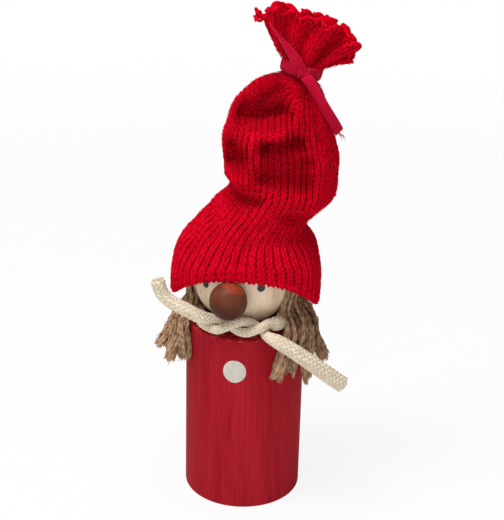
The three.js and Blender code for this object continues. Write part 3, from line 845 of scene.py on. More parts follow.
@dataclass
class Head:
    """The head ball, the nose bead and the eye dots, in millimetres."""

    centre: Point = (-1.2, 0.0, 99.4)
    radius: float = 21.5
    segments: int = 128
    flat_depth: float = 2.4
    turn: float = -3.5
    nose_segments: int = 96
    nose_radius: float = 7.7
    nose_seat: float = 2.7
    nose_drop: float = 1.6
    seat_gap: float = 0.3
    eye_diameter: float = 3.4
    eye_side: float = 32.5
    eye_rise: float = 4.0
    eye_tilt: float = 1.4
    eye_lift: float = 0.12
    eye_look: DotPaint = DotPaint("eye_dark_paint", linear(44, 28, 22), linear(30, 18, 13), 0.42)

    def ball(
        self, name: str, radius: float, segments: int, centre: Sequence[float]
    ) -> bpy.types.Object:
        """Adds a ball with its poles upright.

        Args:
            name: The piece's name.
            radius: Its radius in millimetres.
            segments: Its faces round the poles.
            centre: Its middle in millimetres.

        Returns:
            The ball.
        """
        deselect()
        bpy.ops.mesh.primitive_uv_sphere_add(
            segments=segments,
            ring_count=segments // 2,
            radius=radius * MM,
            location=Vector(centre) * MM,
        )
        return named(name)

    def nose_centre(self) -> np.ndarray:
        """Finds where the nose bead sits.

        Returns:
            Its middle in millimetres.
        """
        turn = math.radians(self.turn)
        reach = self.radius + self.nose_radius - self.nose_seat
        offset = [reach * math.sin(turn), -reach * math.cos(turn), -self.nose_drop]
        return np.array(self.centre) + offset

    def build_ball(self) -> bpy.types.Object:
        """Turns the head and cuts it flat underneath.

        Returns:
            The head.
        """
        head = self.ball("head_turning", self.radius, self.segments, self.centre)
        floor = (self.centre[2] - self.radius + self.flat_depth) * MM
        bpy.ops.object.mode_set(mode="EDIT")
        bpy.ops.mesh.select_all(action="SELECT")
        bpy.ops.mesh.bisect(
            plane_co=(0, 0, floor), plane_no=(0, 0, 1), use_fill=True, clear_inner=True
        )
        bpy.ops.object.mode_set(mode="OBJECT")
        bpy.ops.object.shade_smooth_by_angle(angle=SMOOTH_ANGLE)
        return head

    def build_nose(self) -> bpy.types.Object:
        """Turns the nose and dishes it behind to fit the head.

        Returns:
            The nose.
        """
        cutter = self.ball("nose_seat_cutter", self.radius + self.seat_gap, self.segments, self.centre)
        nose = self.ball("nose_bead", self.nose_radius, self.nose_segments, self.nose_centre())
        apply_modifier(nose, "BOOLEAN", operation="DIFFERENCE", object=cutter, solver="EXACT")
        bpy.data.objects.remove(cutter)
        bpy.ops.object.shade_smooth_by_angle(angle=SMOOTH_ANGLE)
        return nose

    def build_eye(self, name: str, side: float) -> bpy.types.Object:
        """Lays one eye on the head.

        Args:
            name: The piece's name.
            side: +1 for the eye toward +X, -1 for the other.

        Returns:
            The eye.
        """
        across = math.radians(side * self.eye_side + self.turn)
        rise = math.radians(self.eye_rise + side * self.eye_tilt)
        level = math.cos(rise)
        out = np.array([math.sin(across) * level, -math.cos(across) * level, math.sin(rise)])
        right = unit(np.cross([0, 0, 1], out))
        up = np.cross(out, right)

        def on_head(flat: np.ndarray, lift: np.ndarray) -> np.ndarray:
            """Lays flat points on the head.

            Args:
                flat: Points of the flat eye.
                lift: Their heights over the head.

            Returns:
                Points of the figure.
            """
            aim = unit(out * self.radius + flat[:, :1] * right + flat[:, 1:2] * up)
            return np.array(self.centre) + aim * (self.radius + lift)[:, None]

        return paint_dot(name, self.eye_diameter / 2, self.eye_lift, on_head)

    def dress(self) -> None:
        """Builds the pieces and sets their finishes."""
        wood = PaleWood("head_pale_wood").material()
        settle(self.build_ball(), Body.FIGURE, "head_wood", wood, "head_ball")
        lacquer = NoseLacquer(tuple(self.nose_centre() * MM), self.nose_radius * MM).material()
        settle(self.build_nose(), Body.FIGURE, "nose_brown", lacquer, "nose_ball")
        look = self.eye_look.material()
        for label, side in (("left", 1.0), ("right", -1.0)):
            eye = self.build_eye(f"eye_paint_{label}", side)
            settle(eye, Body.FIGURE, "eye_black", look, f"eye_dot_{label}")
        inner = PaleWood("dowel_wood").material()
        for node in ("neck_dowel", "nose_peg"):
            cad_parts[node].data.materials.clear()
            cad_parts[node].data.materials.append(inner)


# Scarf


@dataclass
class Scarf:
    """The braided cotton cord, in millimetres, along the CAD cord's route."""

    diameter: float = 5.6
    knot_diameter: float = 3.8
    knot_gap: float = 0.6
    knot_pitch: float = 24.8
    knot_centre: Point = (1.6, -22.6, 5.1)
    knot_exit: Point = (-14.4, -24.4, 8.8)
    knot_start: float = 0.38
    knot_fade: float = 0.7
    left_end: Points = (
        (-32.0, -25.4, 23.5),
        (-30.2, -25.7, 18.6),
        (-26.2, -25.8, 14.9),
        (-20.2, -25.6, 12.0),
    )
    right_loop: Points = ((12.8, -21.0, 6.8), (16.2, -15.6, 4.8))
    left_loop: Points = ((-17.0, -12.6, 3.5), (-12.8, -19.6, 3.3))
    right_end: Points = (
        (13.0, -24.4, 2.9),
        (18.8, -26.6, 1.4),
        (25.8, -26.2, -2.8),
        (35.0, -22.6, -10.8),
        (43.4, -18.4, -18.6),
    )
    loop_radius: float = 18.8
    loop_lift: float = 0.5
    loop_start: float = -16.0
    body_top: float = 80.0
    head_offset: float = -1.2
    carriers: int = 8
    braid_pitch: float = 17.0
    strand_half_width: float = 0.86
    strand_half_thickness: float = 0.5
    strand_sides: int = 6
    core_sides: int = 10
    weave_depth: float = 0.22
    tip_flare: float = 0.06
    tip_run: float = 2.0
    end_swell: float = 0.24
    swell_from: float = 48.0
    swell_to: float = 4.0
    step: float = 0.42
    fray_count: int = 420
    seed: int = 11
    look: Yarn = Yarn(
        "scarf_cotton",
        linear(196, 176, 148),
        linear(232, 219, 196),
        linear(150, 138, 122),
        speck_share=0.55,
        turns_per_mm=0.55,
        ply_depth=0.00014,
        sheen=0.25,
    )

    def knot_point(self, along: float, turn: float) -> np.ndarray:
        """A point of one strand in the knot.

        Args:
            along: Millimetres across the knot from its middle.
            turn: Turns round the knot: 0 is nearest the viewer, a quarter turn is on top.

        Returns:
            The point, above the block's top.
        """
        radius = (self.knot_diameter + self.knot_gap) / 2
        angle = 2 * math.pi * turn
        offset = [along, -radius * math.cos(angle), radius * math.sin(angle)]
        return np.array(self.knot_centre) + offset

    def knot_strand(self, start: float) -> list[np.ndarray]:
        """Points of the strand that is start turns round at the knot's middle."""
        return [self.knot_point(self.knot_pitch * e / 8, start + e / 8) for e in range(-3, 4)]

    def route(self) -> np.ndarray:
        """Lays the cord from its left tip to its right tip.

        Returns:
            Points of its middle line.
        """
        height = self.diameter / 2 + self.loop_lift
        loop = []
        for angle in np.radians(np.linspace(self.loop_start, 180 - self.loop_start, 11)):
            x = self.head_offset + self.loop_radius * math.cos(angle)
            loop.append((x, self.loop_radius * math.sin(angle), height))
        points = [*self.left_end, self.knot_exit, *self.knot_strand(0.75), *self.right_loop]
        points += [*loop, *self.left_loop, *self.knot_strand(0.25), *self.right_end]
        return catmull(points) + [0, 0, self.body_top]

    def radius_at(self, line: np.ndarray) -> np.ndarray:
        """The cord's radius: full outside the knot, squeezed within it.

        Args:
            line: Points of the cord's middle line.

        Returns:
            The radius at each point.
        """
        away = np.abs(line[:, 0] - self.knot_centre[0]) / self.knot_pitch
        in_front = line[:, 1] < self.knot_centre[1] + self.knot_diameter
        near = 1 - smoothstep(away, self.knot_start, self.knot_fade)
        squeeze = np.where(in_front, near, 0.0)
        return (self.diameter + (self.knot_diameter - self.diameter) * squeeze) / 2

    def build(self) -> tuple[bpy.types.Object, np.ndarray]:
        """Braids the cord.

        Returns:
            The cord and the points that it follows.
        """
        rng = np.random.default_rng(self.seed)
        route = self.route()
        total = run_lengths(route)[-1]
        steps = int(total / self.step)
        line = even(route, steps)
        side, rise = carried_frames(line, (0, 1, 0))
        scale = self.radius_at(line) / (self.diameter / 2)
        along = np.linspace(0, total, steps)
        swell = smoothstep(along, total - self.swell_from, total - self.swell_to)
        flare = 1 + self.tip_flare * np.exp(-along / self.tip_run) + self.end_swell * swell
        core = self.diameter / 2 - self.strand_half_thickness - 0.05
        beat = np.cos(2 * self.carriers * np.pi * along / self.braid_pitch)
        lines = []
        for hand in (1.0, -1.0):
            turn = hand * 2 * np.pi * along / self.braid_pitch
            out = (core + hand * self.weave_depth * beat) * scale * flare
            for carrier in range(self.carriers):
                angle = turn + 2 * np.pi * carrier / self.carriers
                direction = side * np.cos(angle)[:, None] + rise * np.sin(angle)[:, None]
                lines.append(line + direction * out[:, None])
        lines = np.array(lines)
        strands = len(lines)
        half_a = np.broadcast_to(self.strand_half_thickness * scale, lines.shape[:2])
        half_b = np.broadcast_to(self.strand_half_width * scale, lines.shape[:2])
        rings = tubes_along(lines, self.strand_sides, half_a, half_b, unit(lines - line[None]))
        tone = rng.uniform(0.6, 1.0, strands)
        lay = tube_lay(rings, along[None, :, None], tone[:, None, None])
        verts = rings.reshape(-1, 3)
        faces = tube_faces(strands, steps, self.strand_sides)
        half = (core * scale)[None, ::2]
        middle = tubes_along(line[None, ::2], self.core_sides, half, half, (0.0, 1.0, 0.0))
        shift = len(verts)
        core_faces = tube_faces(1, middle.shape[1], self.core_sides)
        faces += [[i + shift for i in face] for face in core_faces]
        middle_lay = np.zeros((middle.size // 3, 3))
        fray, fray_faces = self.fray(line, rng)
        fray_shift = shift + len(middle_lay)
        faces += [[i + fray_shift for i in face] for face in fray_faces]
        fray_lay = np.tile([0.0, 0.0, 0.9], (len(fray), 1))
        verts = np.vstack([verts, middle.reshape(-1, 3), fray])
        cord = mesh_piece("scarf_braid", verts, faces, np.vstack([lay, middle_lay, fray_lay]))
        return cord, line

    def fray(self, line: np.ndarray, rng: np.random.Generator) -> tuple[np.ndarray, Faces]:
        """Loose threads that stand out of the two cut ends.

        Args:
            line: Points of the cord's middle line.
            rng: The source of chance.

        Returns:
            The threads' points and faces.
        """
        lines = []
        right = (line[-1], line[-7], 1 + self.end_swell)
        for tip, inner, wide in ((line[0], line[6], 1.0), right):
            out = unit(tip - inner)
            first = unit(np.cross(out, [0.3, 0.5, 0.8]))
            second = np.cross(out, first)
            for _ in range(self.fray_count // 2):
                angle = rng.uniform(0, 2 * np.pi)
                reach = wide * self.diameter / 2 * math.sqrt(rng.uniform(0, 0.9))
                across = first * math.cos(angle) + second * math.sin(angle)
                start = tip + across * reach - out * 0.8
                bend = across * rng.uniform(-0.1, 0.45) + rng.normal(0, 0.12, 3)
                length = rng.uniform(0.9, 1.7)
                lines.append([start, start + out * length * 0.6, start + out * length + bend])
        lines = np.array(lines)
        half = np.broadcast_to(np.array([0.16, 0.14, 0.06]), lines.shape[:2])
        rings = tubes_along(lines, 3, half, half, (0.1, 0.2, 0.97))
        return rings.reshape(-1, 3), tube_faces(len(lines), 3, 3)

    def dress(self) -> None:
        cord, line = self.build()
        settle(cord, Body.FIGURE, "scarf_cotton", self.look.material(), "scarf_cord")


# Hair


@dataclass
class Hair:
    """Locks of unravelled jute laid over the head from side to side, in millimetres."""

    head_centre: Point = (-1.2, 0.0, 99.4)
    head_radius: float = 21.5
    body_radius: float = 25.0
    body_top: float = 80.0
    gap: float = 0.3
    spacing: float = 4.3
    width: float = 3.9
    crown_thickness: float = 2.2
    side_thickness: float = 5.0
    tip_thickness: float = 3.6
    brim_drop: float = 10.7
    side_ease: float = 1.9
    ear_spread: float = 1.12
    plies: int = 6
    fibres: int = 46
    steps: int = 52
    fibre_radius: float = 0.16
    fibre_sides: int = 3
    clearance: float = 0.25
    twist_pitch: float = 13.0
    crimp: float = 7.0
    seed: int = 23
    fly_share: float = 0.12
    fly_reach: float = 2.6
    ends: tuple[tuple[Point, Point], ...] = (
        ((-57, 0.6, 16.0), (37.5, 0.6, 17.2)),
        ((-68, 2.6, 18.0), (53, 0.8, 16.6)),
        ((-77, 5.2, 22.4), (69, 3.2, 22.4)),
        ((-88, 9.6, 18.6), (91, 8.0, 17.6)),
        ((-101, 5.0, 20.0), (105, 5.0, 19.0)),
    )
    look: Yarn = Yarn(
        "hair_jute",
        linear(130, 94, 68),
        linear(234, 194, 156),
        linear(206, 178, 142),
        speck_share=0.3,
        turns_per_mm=0.3,
        ply_depth=0.00005,
        sheen=0.0,
        rough=0.75,
    )

    def hanging(self, side: float, front: float, end: Point) -> list[np.ndarray]:
        """One hanging end, about the head's centre.

        Args:
            side: +1 for the end toward +X, -1 for the other.
            front: How far the lock lies toward +Y on the crown.
            end: Degrees round the block, distance out from it and drop below its top.

        Returns:
            Points from the tip up to the side of the head.
        """
        degrees, out, drop = end
        angle = math.radians(degrees)
        offset = self.head_centre[0]
        top = self.body_top - self.head_centre[2]
        reach = self.body_radius + self.gap + out + self.tip_thickness / 2
        tip = np.array([reach * math.sin(angle) - offset, -reach * math.cos(angle), top - drop])
        ear_front = front * self.ear_spread
        head_half = math.sqrt(self.head_radius**2 - min(ear_front**2, 150.0) - self.brim_drop**2)
        ear_half = head_half + self.side_thickness / 2 + self.side_ease / 3
        ear = np.array([side * ear_half, ear_front, -self.brim_drop])

        def outside(share: float, height: float, extra: float) -> np.ndarray:
            """A point on the way to the tip, clear of the block's side.

            Args:
                share: 0 at the ear, 1 at the tip.
                height: The point's height.
                extra: Extra distance from the block.

            Returns:
                The point.
            """
            point = ear + (tip - ear) * share
            least = self.body_radius + 2 * self.gap + 0.3 * self.side_thickness + extra
            push = max(1.0, least / math.hypot(point[0] + offset, point[1]))
            return np.array([(point[0] + offset) * push - offset, point[1] * push, height])

        shoulder = outside(0.3, top + 0.6, 0.0)
        middle = outside(0.6, top + (tip[2] - top) * 0.45, out * 0.3)
        return [tip, middle, shoulder, ear]

    def middle_line(self, number: int) -> np.ndarray:
        """Lays a lock from its left tip over the crown to its right tip.

        Args:
            number: The lock, counted from the front.

        Returns:
            Points of its middle line.
        """
        front = self.spacing * (number - (len(self.ends) - 1) / 2)
        inward = max(0.0, abs(front) - self.width / 2)
        clear = math.sqrt(self.head_radius**2 - inward**2) + self.gap
        over = []
        for degrees in range(-80, 81, 20):
            share = abs(degrees) / 90
            lift = self.crown_thickness + (self.side_thickness - self.crown_thickness) * share
            radius = clear + lift / 2
            angle = math.radians(degrees)
            over.append(np.array([radius * math.sin(angle), front, radius * math.cos(angle)]))
        left, right = self.ends[number]
        points = [
            *self.hanging(-1.0, front, left),
            *over,
            *self.hanging(1.0, front, right)[::-1],
        ]
        return catmull(points) + np.array(self.head_centre)

    def build(self, number: int) -> bpy.types.Object:
        """One lock: loosely twisted plies of wavy fibres that open toward the cut ends.

        Args:
            number: The lock, counted from the front.

        Returns:
            The lock.
        """
        rng = np.random.default_rng(self.seed + number)
        route = even(self.middle_line(number), 400)
        side, rise = carried_frames(route, (0, 1, 0))
        total = run_lengths(route)[-1]
        count = self.plies * self.fibres
        ply = np.repeat(np.arange(self.plies), self.fibres)
        trims = np.minimum(rng.gamma(1.5, 0.8, (count, 2)), 6.0)
        trims = trims + rng.uniform(0, 2.2, (self.plies, 2))[ply]
        share = np.linspace(0, 1, self.steps)[None, :]
        starts, ends = trims[:, :1] - 0.6, total - trims[:, 1:] + 1.4
        at = starts + (ends - starts) * share
        index = np.clip(at / total * (len(route) - 1), 0, len(route) - 1)
        low = np.clip(index.astype(int), 0, len(route) - 2)
        part = (index - low)[..., None]
        centre = route[low] * (1 - part) + route[low + 1] * part
        centre = centre + np.clip(at - total, 0, None)[..., None] * unit(route[-1] - route[-2])
        centre = centre + np.clip(-at, 0, None)[..., None] * unit(route[0] - route[1])
        out_a, out_b = side[low], rise[low]
        from_middle = np.abs(2 * at / total - 1)
        hang = smoothstep(from_middle, 0.42, 0.95)
        more = self.side_thickness - self.crown_thickness
        thick = self.crown_thickness + more * smoothstep(from_middle, 0.08, 0.5)
        thick = thick + (self.tip_thickness - thick) * smoothstep(from_middle, 0.6, 1.0)
        spot = 2 * np.pi * np.arange(self.plies) / self.plies + rng.uniform(0, 1.0, self.plies)
        spot = spot[ply][:, None] + 1.2 * (share - 0.5)
        ply_share = np.broadcast_to(share, (self.plies, self.steps))
        ply_sway = wander(ply_share, rng, (2.0, 4.0))[ply]
        ply_reach = 0.56 + 0.22 * hang
        across = ply_reach * np.cos(spot) * self.width / 2
        lift = ply_reach * np.sin(spot) * thick / 2
        lines = centre + out_a * across[..., None] + out_b * lift[..., None]
        lines = lines + ply_sway * (0.1 + 0.75 * hang)[..., None]
        angle = rng.uniform(0, 2 * np.pi, (count, 1)) + 2 * np.pi * at / self.twist_pitch
        radius = np.sqrt(rng.uniform(0, 1, (count, 1))) * (0.62 + 0.3 * hang)
        lines = lines + out_a * (radius * np.cos(angle))[..., None]
        lines = lines + out_b * (radius * np.sin(angle))[..., None]
        phase = rng.uniform(0, 2 * np.pi, (count, 1)) + rng.normal(0, 0.5, (count, 1))
        crimp = self.crimp * rng.uniform(0.75, 1.3, (count, 1))
        wave = np.sin(2 * np.pi * at / crimp + phase)
        lines = lines + out_a * (0.22 * hang * wave)[..., None]
        fly = np.where(rng.uniform(0, 1, (count, 1)) < self.fly_share, self.fly_reach, 1.0)
        loose = (0.06 + 0.26 * hang) * fly
        sway = wander(np.broadcast_to(share, at.shape), rng, (4.0, 9.0, 17.0))
        lines = self.keep_out(lines + sway * loose[..., None])
        half = self.fibre_radius * rng.uniform(0.7, 1.35, (count, 1))
        half = half * (1 - 0.5 * smoothstep(from_middle, 0.97, 1.0))
        rings = tubes_along(lines, self.fibre_sides, half, half, (0.05, 0.99, 0.1))
        tone = 0.7 * rng.uniform(0, 1, count) + 0.3 * rng.uniform(0, 1, self.plies)[ply]
        lay = tube_lay(rings, at[:, :, None], tone[:, None, None])
        faces = tube_faces(count, self.steps, self.fibre_sides)
        return mesh_piece(f"hair_lock_{number + 1}", rings.reshape(-1, 3), faces, lay)

    def keep_out(self, lines: np.ndarray) -> np.ndarray:
        """Pushes fibres out of the head and the block.

        Args:
            lines: Points by fibre and step.

        Returns:
            The points, clear of both.
        """
        centre = np.array(self.head_centre)
        away = lines - centre
        far = np.linalg.norm(away, axis=-1, keepdims=True)
        lines = centre + away * np.maximum(1, (self.head_radius + self.clearance) / far)
        low = lines[..., 2] < self.body_top + self.gap
        round_axis = np.linalg.norm(lines[..., :2], axis=-1)
        least = self.body_radius + self.clearance
        push = np.where(low, np.maximum(1, least / round_axis), 1.0)
        lines[..., :2] *= push[..., None]
        return lines

    def dress(self) -> None:
        """Builds the locks and sets their finish."""
        look = self.look.material()
        for number in range(len(self.ends)):
            lock = self.build(number)
            settle(lock, Body.FIGURE, "hair_jute", look, f"hair_strand_{number + 1}")


# Hat


@dataclass(frozen=True)
class Crease:
    """A stroke on the hat that is pressed in, or out where its depth is negative, in millimetres."""

    points: tuple[tuple[float, float], ...]
    depth: float
    width: float
    face: Face = Face.FRONT

    def press(self, x: np.ndarray, z: np.ndarray) -> np.ndarray:
        """How far the stroke presses the cloth.

        Args:
            x: Places across the hat.
            z: Their heights.

        Returns:
            The depth at each place.
        """
        best = np.full(x.shape, np.inf)
        for (x0, z0), (x1, z1) in zip(self.points, self.points[1:]):
            run = np.array([x1 - x0, z1 - z0])
            share = np.clip(((x - x0) * run[0] + (z - z0) * run[1]) / (run @ run), 0, 1)
            best = np.minimum(best, np.hypot(x - x0 - share * run[0], z - z0 - share * run[1]))
        return self.depth * np.exp(-((best / self.width) ** 2))


@dataclass
class Hat:
    """The knitted hat: a ribbed tube gathered near its top, in millimetres about the head's centre."""

    turn: float = 9.3
    centre_height: float = 99.4
    crown: float = 24.0
    cuff_half_width: float = 31.2
    cuff_half_depth: float = 27.0
    cuff_shift: float = 1.5
    brim_drop: float = 9.6
    brim_front_rise: float = 17.0
    brim_back_drop: float = 6.0
    lip_radius: float = 1.1
    lip_turns: tuple[float, ...] = (165, 130, 95, 60, 30)
    gather: Point = (19.2, 0.0, 85.4)
    gather_tilt: float = -14.0
    gather_half_width: float = 7.0
    gather_half_depth: float = 6.3
    tie_width: float = 4.0
    frill_middle: float = 66.5
    frill_spread: float = 63.5
    frill_half_depth: float = 4.2
    frill_lean: float = 1.4
    frill_bend: Point = (13.4, 5.2, 3.8)
    pleats: int = 11
    pleat_depth: float = 2.6
    ribs: int = 48
    course: float = 2.35
    yarn_lift: float = 0.6
    wall: float = 2.0
    sub: int = 4
    ease: int = 4
    # Strength of the painted shade that darkens the stitches deep in the folds.
    painted_fold_shade: float = 0.95
    ring_points: int = 720
    leg_offset: float = 0.86
    leg_share: float = 0.17
    leg_lean: float = 19.0
    leg_dip: float = 6.0
    gap_depth: float = 0.48
    loop_count: int = 70
    loop_half: float = 0.5
    curl_tip: Point = (2.2, -0.5, 107.6)
    curl_loops: int = 7
    curl_size: tuple[float, float] = (1.2, 1.4)
    neck_loops: int = 9
    neck_run: Point = (5.2, 0.2, 0.2)
    fuzz_count: int = 5200
    seed: int = 5
    yarn: Yarn = Yarn(
        "hat_wool",
        linear(180, 1, 25),
        linear(226, 2, 40),
        linear(240, 70, 84),
        speck_share=0.1,
        turns_per_mm=0.9,
        ply_depth=0.00015,
        sheen=0.0,
        rough=0.9,
        gloss=0.05,
    )
    # Painted shade: a darker wool for the cloth behind the stitches.
    under: Yarn = Yarn(
        "hat_wool_shade",
        linear(146, 0, 17),
        linear(206, 2, 30),
        linear(150, 10, 30),
        speck_share=0.1,
        turns_per_mm=0.9,
        ply_depth=0.0002,
        sheen=0.0,
        rough=0.95,
        gloss=0.0,
    )
    frill_edge: tuple[tuple[float, float], ...] = (
        (3.0, 19.0),
        (10.5, 21.5),
        (21.8, 24.0),
        (40.5, 22.4),
        (55.6, 20.8),
        (74.5, 20.6),
        (94.0, 21.0),
        (111.6, 25.0),
        (120.0, 28.0),
        (127.0, 25.0),
    )
    creases: tuple[Crease, ...] = (
        Crease(((-3.0, 68.8), (3.0, 68.6), (8.6, 69.2), (12.6, 71.0)), 11.5, 3.2),
        Crease(((-1.0, 72.6), (6.0, 73.0), (11.8, 74.8)), 6.0, 3.6),
        Crease(((5.0, 77.0), (12.0, 80.5)), 5.0, 3.2),
        Crease(
            ((15.8, 82.0), (18.0, 74.2), (17.7, 69.6), (13.8, 66.9), (8.6, 65.3), (3.3, 64.5)),
            -4.0,
            2.6,
        ),
        Crease(((3.3, 64.5), (-3.7, 65.8), (-8.3, 67.6)), -2.8, 2.6),
        Crease(((5.8, 59.2), (12.0, 59.4), (19.0, 61.8)), 8.5, 3.1),
        Crease(((8.0, 54.2), (14.0, 53.2), (22.0, 53.0)), 5.4, 4.2),
        Crease(((6.0, 48.0), (12.0, 46.4), (22.0, 44.6)), 7.8, 4.4),
        Crease(
            (
                (2.0, 62.0),
                (1.8, 60.6),
                (4.0, 55.7),
                (3.2, 51.5),
                (-0.7, 47.2),
                (-7.0, 45.2),
                (-11.0, 44.0),
            ),
            -4.2,
            2.6,
        ),
        Crease(((-6.6, 50.4), (-2.8, 50.0)), 9.0, 3.3),
        Crease(((-6.2, 57.0), (-3.6, 54.4)), 7.5, 3.6),
        Crease(((-9.0, 35.8), (-3.3, 35.6), (3.8, 36.4)), 4.8, 3.3),
        Crease(((26.0, 27.0), (20.0, 29.4), (16.0, 31.0)), 4.0, 2.6),
        Crease(((21.4, 80.0), (24.4, 71.0), (27.4, 61.0)), 2.4, 1.9),
        Crease(((28.0, 40.0), (14.0, 37.0), (0.0, 39.0)), 5.5, 3.6, Face.BACK),
        Crease(((-4.0, 65.0), (8.0, 62.0), (22.0, 66.0)), 5.0, 4.4, Face.BACK),
        Crease(((12.0, 78.0), (9.0, 72.0), (5.0, 66.0)), 3.5, 3.6, Face.BACK),
    )

    def sections(self) -> np.ndarray:
        """The hat's outline from the brim to the tie.

        Returns:
            Rows of centre across, centre back, height, half width, half depth, tilt and squareness.
        """
        width, depth, crown = self.cuff_half_width, self.cuff_half_depth, self.crown
        tie_x, _, tie_z = self.gather
        tie_width, tie_depth = self.gather_half_width, self.gather_half_depth
        return np.array(
            [
                (-0.4, self.cuff_shift, -self.brim_drop, width, depth, -4, 2.5),
                (-0.1, self.cuff_shift, 2.4, width - 0.2, depth, -1, 2.5),
                (0.1, self.cuff_shift, crown - 10.2, width - 3.0, depth - 1.4, 0, 2.4),
                (1.9, 1, crown - 2.4, width - 8.8, depth - 5, -5, 2.2),
                (8.3, 0.6, crown + 7, 17.5, 19.4, -25, 2),
                (12.4, 0, crown + 15.3, 22.5, 19.2, -12, 2),
                (12.6, 0, crown + 26.6, 23.7, 19, -6, 2),
                (12, 0, crown + 33.4, 23.1, 18.5, -5, 2),
                (11.8, 0, crown + 40.6, 21.4, 17.5, -5, 2),
                (12.4, 0, crown + 48.2, 18.7, 15.5, -5, 2),
                (13.9, 0, crown + 54.2, 15.2, 13, -5, 2),
                (16.2, 0, crown + 58, 11.2, 9.9, -8, 2),
                (tie_x - 0.9, 0, tie_z - 1.6, tie_width + 1, tie_depth + 0.8, -12, 2),
                (tie_x, 0, tie_z, tie_width, tie_depth, self.gather_tilt, 2),
            ],
            float,
        )

    def tie_axes(self) -> tuple[np.ndarray, np.ndarray]:
        """The tie's own directions.

        Returns:
            The direction up through the tie and the direction across it.
        """
        lean = math.radians(self.gather_tilt)
        sine, cosine = math.sin(lean), math.cos(lean)
        return np.array([-sine, 0, cosine]), np.array([cosine, 0, sine])

    def spin(self) -> np.ndarray:
        """The matrix that turns the hat on the head."""
        sine, cosine = math.sin(math.radians(self.turn)), math.cos(math.radians(self.turn))
        return np.array([[cosine, -sine, 0], [sine, cosine, 0], [0, 0, 1]])

    def place(self, points: np.ndarray) -> np.ndarray:
        """Points of the hat's frame in the figure's frame."""
        return np.asarray(points) @ self.spin().T + [0, 0, self.centre_height]

    def ring_angles(self) -> np.ndarray:
        """Angles round the hat from the middle of its back."""
        return np.pi / 2 + 2 * np.pi * np.arange(self.ring_points) / self.ring_points

    def even_ring(self, ring: np.ndarray, count: int) -> np.ndarray:
        """A closed ring with evenly spaced points."""
        closed = np.vstack([ring, ring[:1]])
        return even(closed, count + 1)[:-1]

    def hat_row(self, place: float, count: int) -> np.ndarray:
        """A ring of the hat below the tie.

        Args:
            place: The ring's place among the sections, counted from the brim.
            count: Points in the ring.

        Returns:
            The ring's points, evenly spaced.
        """
        rows = self.sections()
        low = int(min(place, len(rows) - 1.000001))
        p0, p1, p2, p3 = (rows[min(max(low + i, 0), len(rows) - 1)] for i in (-1, 0, 1, 2))
        t = place - low
        square = 2 * p0 - 5 * p1 + 4 * p2 - p3
        cube = 3 * p1 - p0 - 3 * p2 + p3
        row = 0.5 * (2 * p1 + (p2 - p0) * t + square * t**2 + cube * t**3)
        cx, cy, cz, half_width, half_depth, tilt, squareness = row
        angle = self.ring_angles()
        c, s = np.cos(angle), np.sin(angle)
        across = np.sign(c) * np.abs(c) ** (2 / squareness) * (half_width - self.yarn_lift)
        back = np.sign(s) * np.abs(s) ** (2 / squareness) * (half_depth - self.yarn_lift)
        tilt = math.radians(tilt)
        fade = 1 - smoothstep(place, 0, 2.2)
        rise = np.abs(s) ** 1.25
        wave = np.where(s < 0, self.brim_front_rise, -self.brim_back_drop) * rise * fade
        height = cz + across * math.sin(tilt) + wave
        ring = np.stack([cx + across * math.cos(tilt), cy + back, height], 1)
        return self.even_ring(ring, count)

    def lip_rows(self, first: np.ndarray, second: np.ndarray) -> list[np.ndarray]:
        """Rolls the brim inward.

        Args:
            first: The brim's ring.
            second: The ring above it.

        Returns:
            Rings from the inside out to the brim.
        """
        across = unit(np.roll(first, -1, 0) - np.roll(first, 1, 0))
        up = unit(second - first)
        out = np.cross(across, up)
        middle = first - out * self.lip_radius
        rows = []
        for turn in np.radians(self.lip_turns):
            rows.append(middle + self.lip_radius * (math.cos(turn) * out - math.sin(turn) * up))
        return rows

    def frill_row(self, share: float, curl: float, count: int) -> np.ndarray:
        """A ring of the frill.

        Args:
            share: 0 at the tie, 1 at the raw edge.
            curl: How far the edge has rolled outward, from 0 to 1.
            count: Points in the ring.

        Returns:
            The ring's points, evenly spaced.
        """
        up, across = self.tie_axes()
        base = np.array(self.gather) + up * self.tie_width
        angle = self.ring_angles()
        c, s = np.cos(angle), np.sin(angle)
        turn = self.frill_middle - self.frill_spread * c
        table = np.array(self.frill_edge)
        ragged = 0.7 * np.sin(23 * angle + 1.1) + 0.6 * np.sin(14 * angle)
        reach = np.interp(turn, table[:, 0], table[:, 1]) - self.tie_width / 2
        reach = reach + ragged - 0.7 * curl
        aim = np.radians(turn)
        start = base + np.outer(self.gather_half_width * c, across)
        bend_width, bend_depth, bend_height = self.frill_bend
        bend = base + up * bend_height + np.outer(bend_width * c - 0.6, across)
        edge = base + np.stack([reach * np.cos(aim), 0 * aim, reach * np.sin(aim)], 1)
        t = share
        ring = start * (1 - t) ** 2 + bend * (2 * t * (1 - t)) + edge * t**2
        deep = self.gather_half_depth * (1 - t) ** 2 + bend_depth * 2 * t * (1 - t)
        deep = deep + self.frill_half_depth * t**2
        fold = self.pleat_depth * math.sin(math.pi * min(t, 0.8) / 1.6)
        pleats = 0.7 * np.cos(self.pleats * angle + 0.5)
        pleats = pleats + 0.4 * np.cos((self.pleats - 4) * angle + 2.0)
        flat = np.sign(s) * np.abs(s) ** 0.75
        leaning = fold * pleats * np.abs(s) ** 0.5 + self.frill_lean * t
        ring[:, 1] += deep * flat + leaning + 2.0 * curl * flat
        return self.even_ring(ring, count)

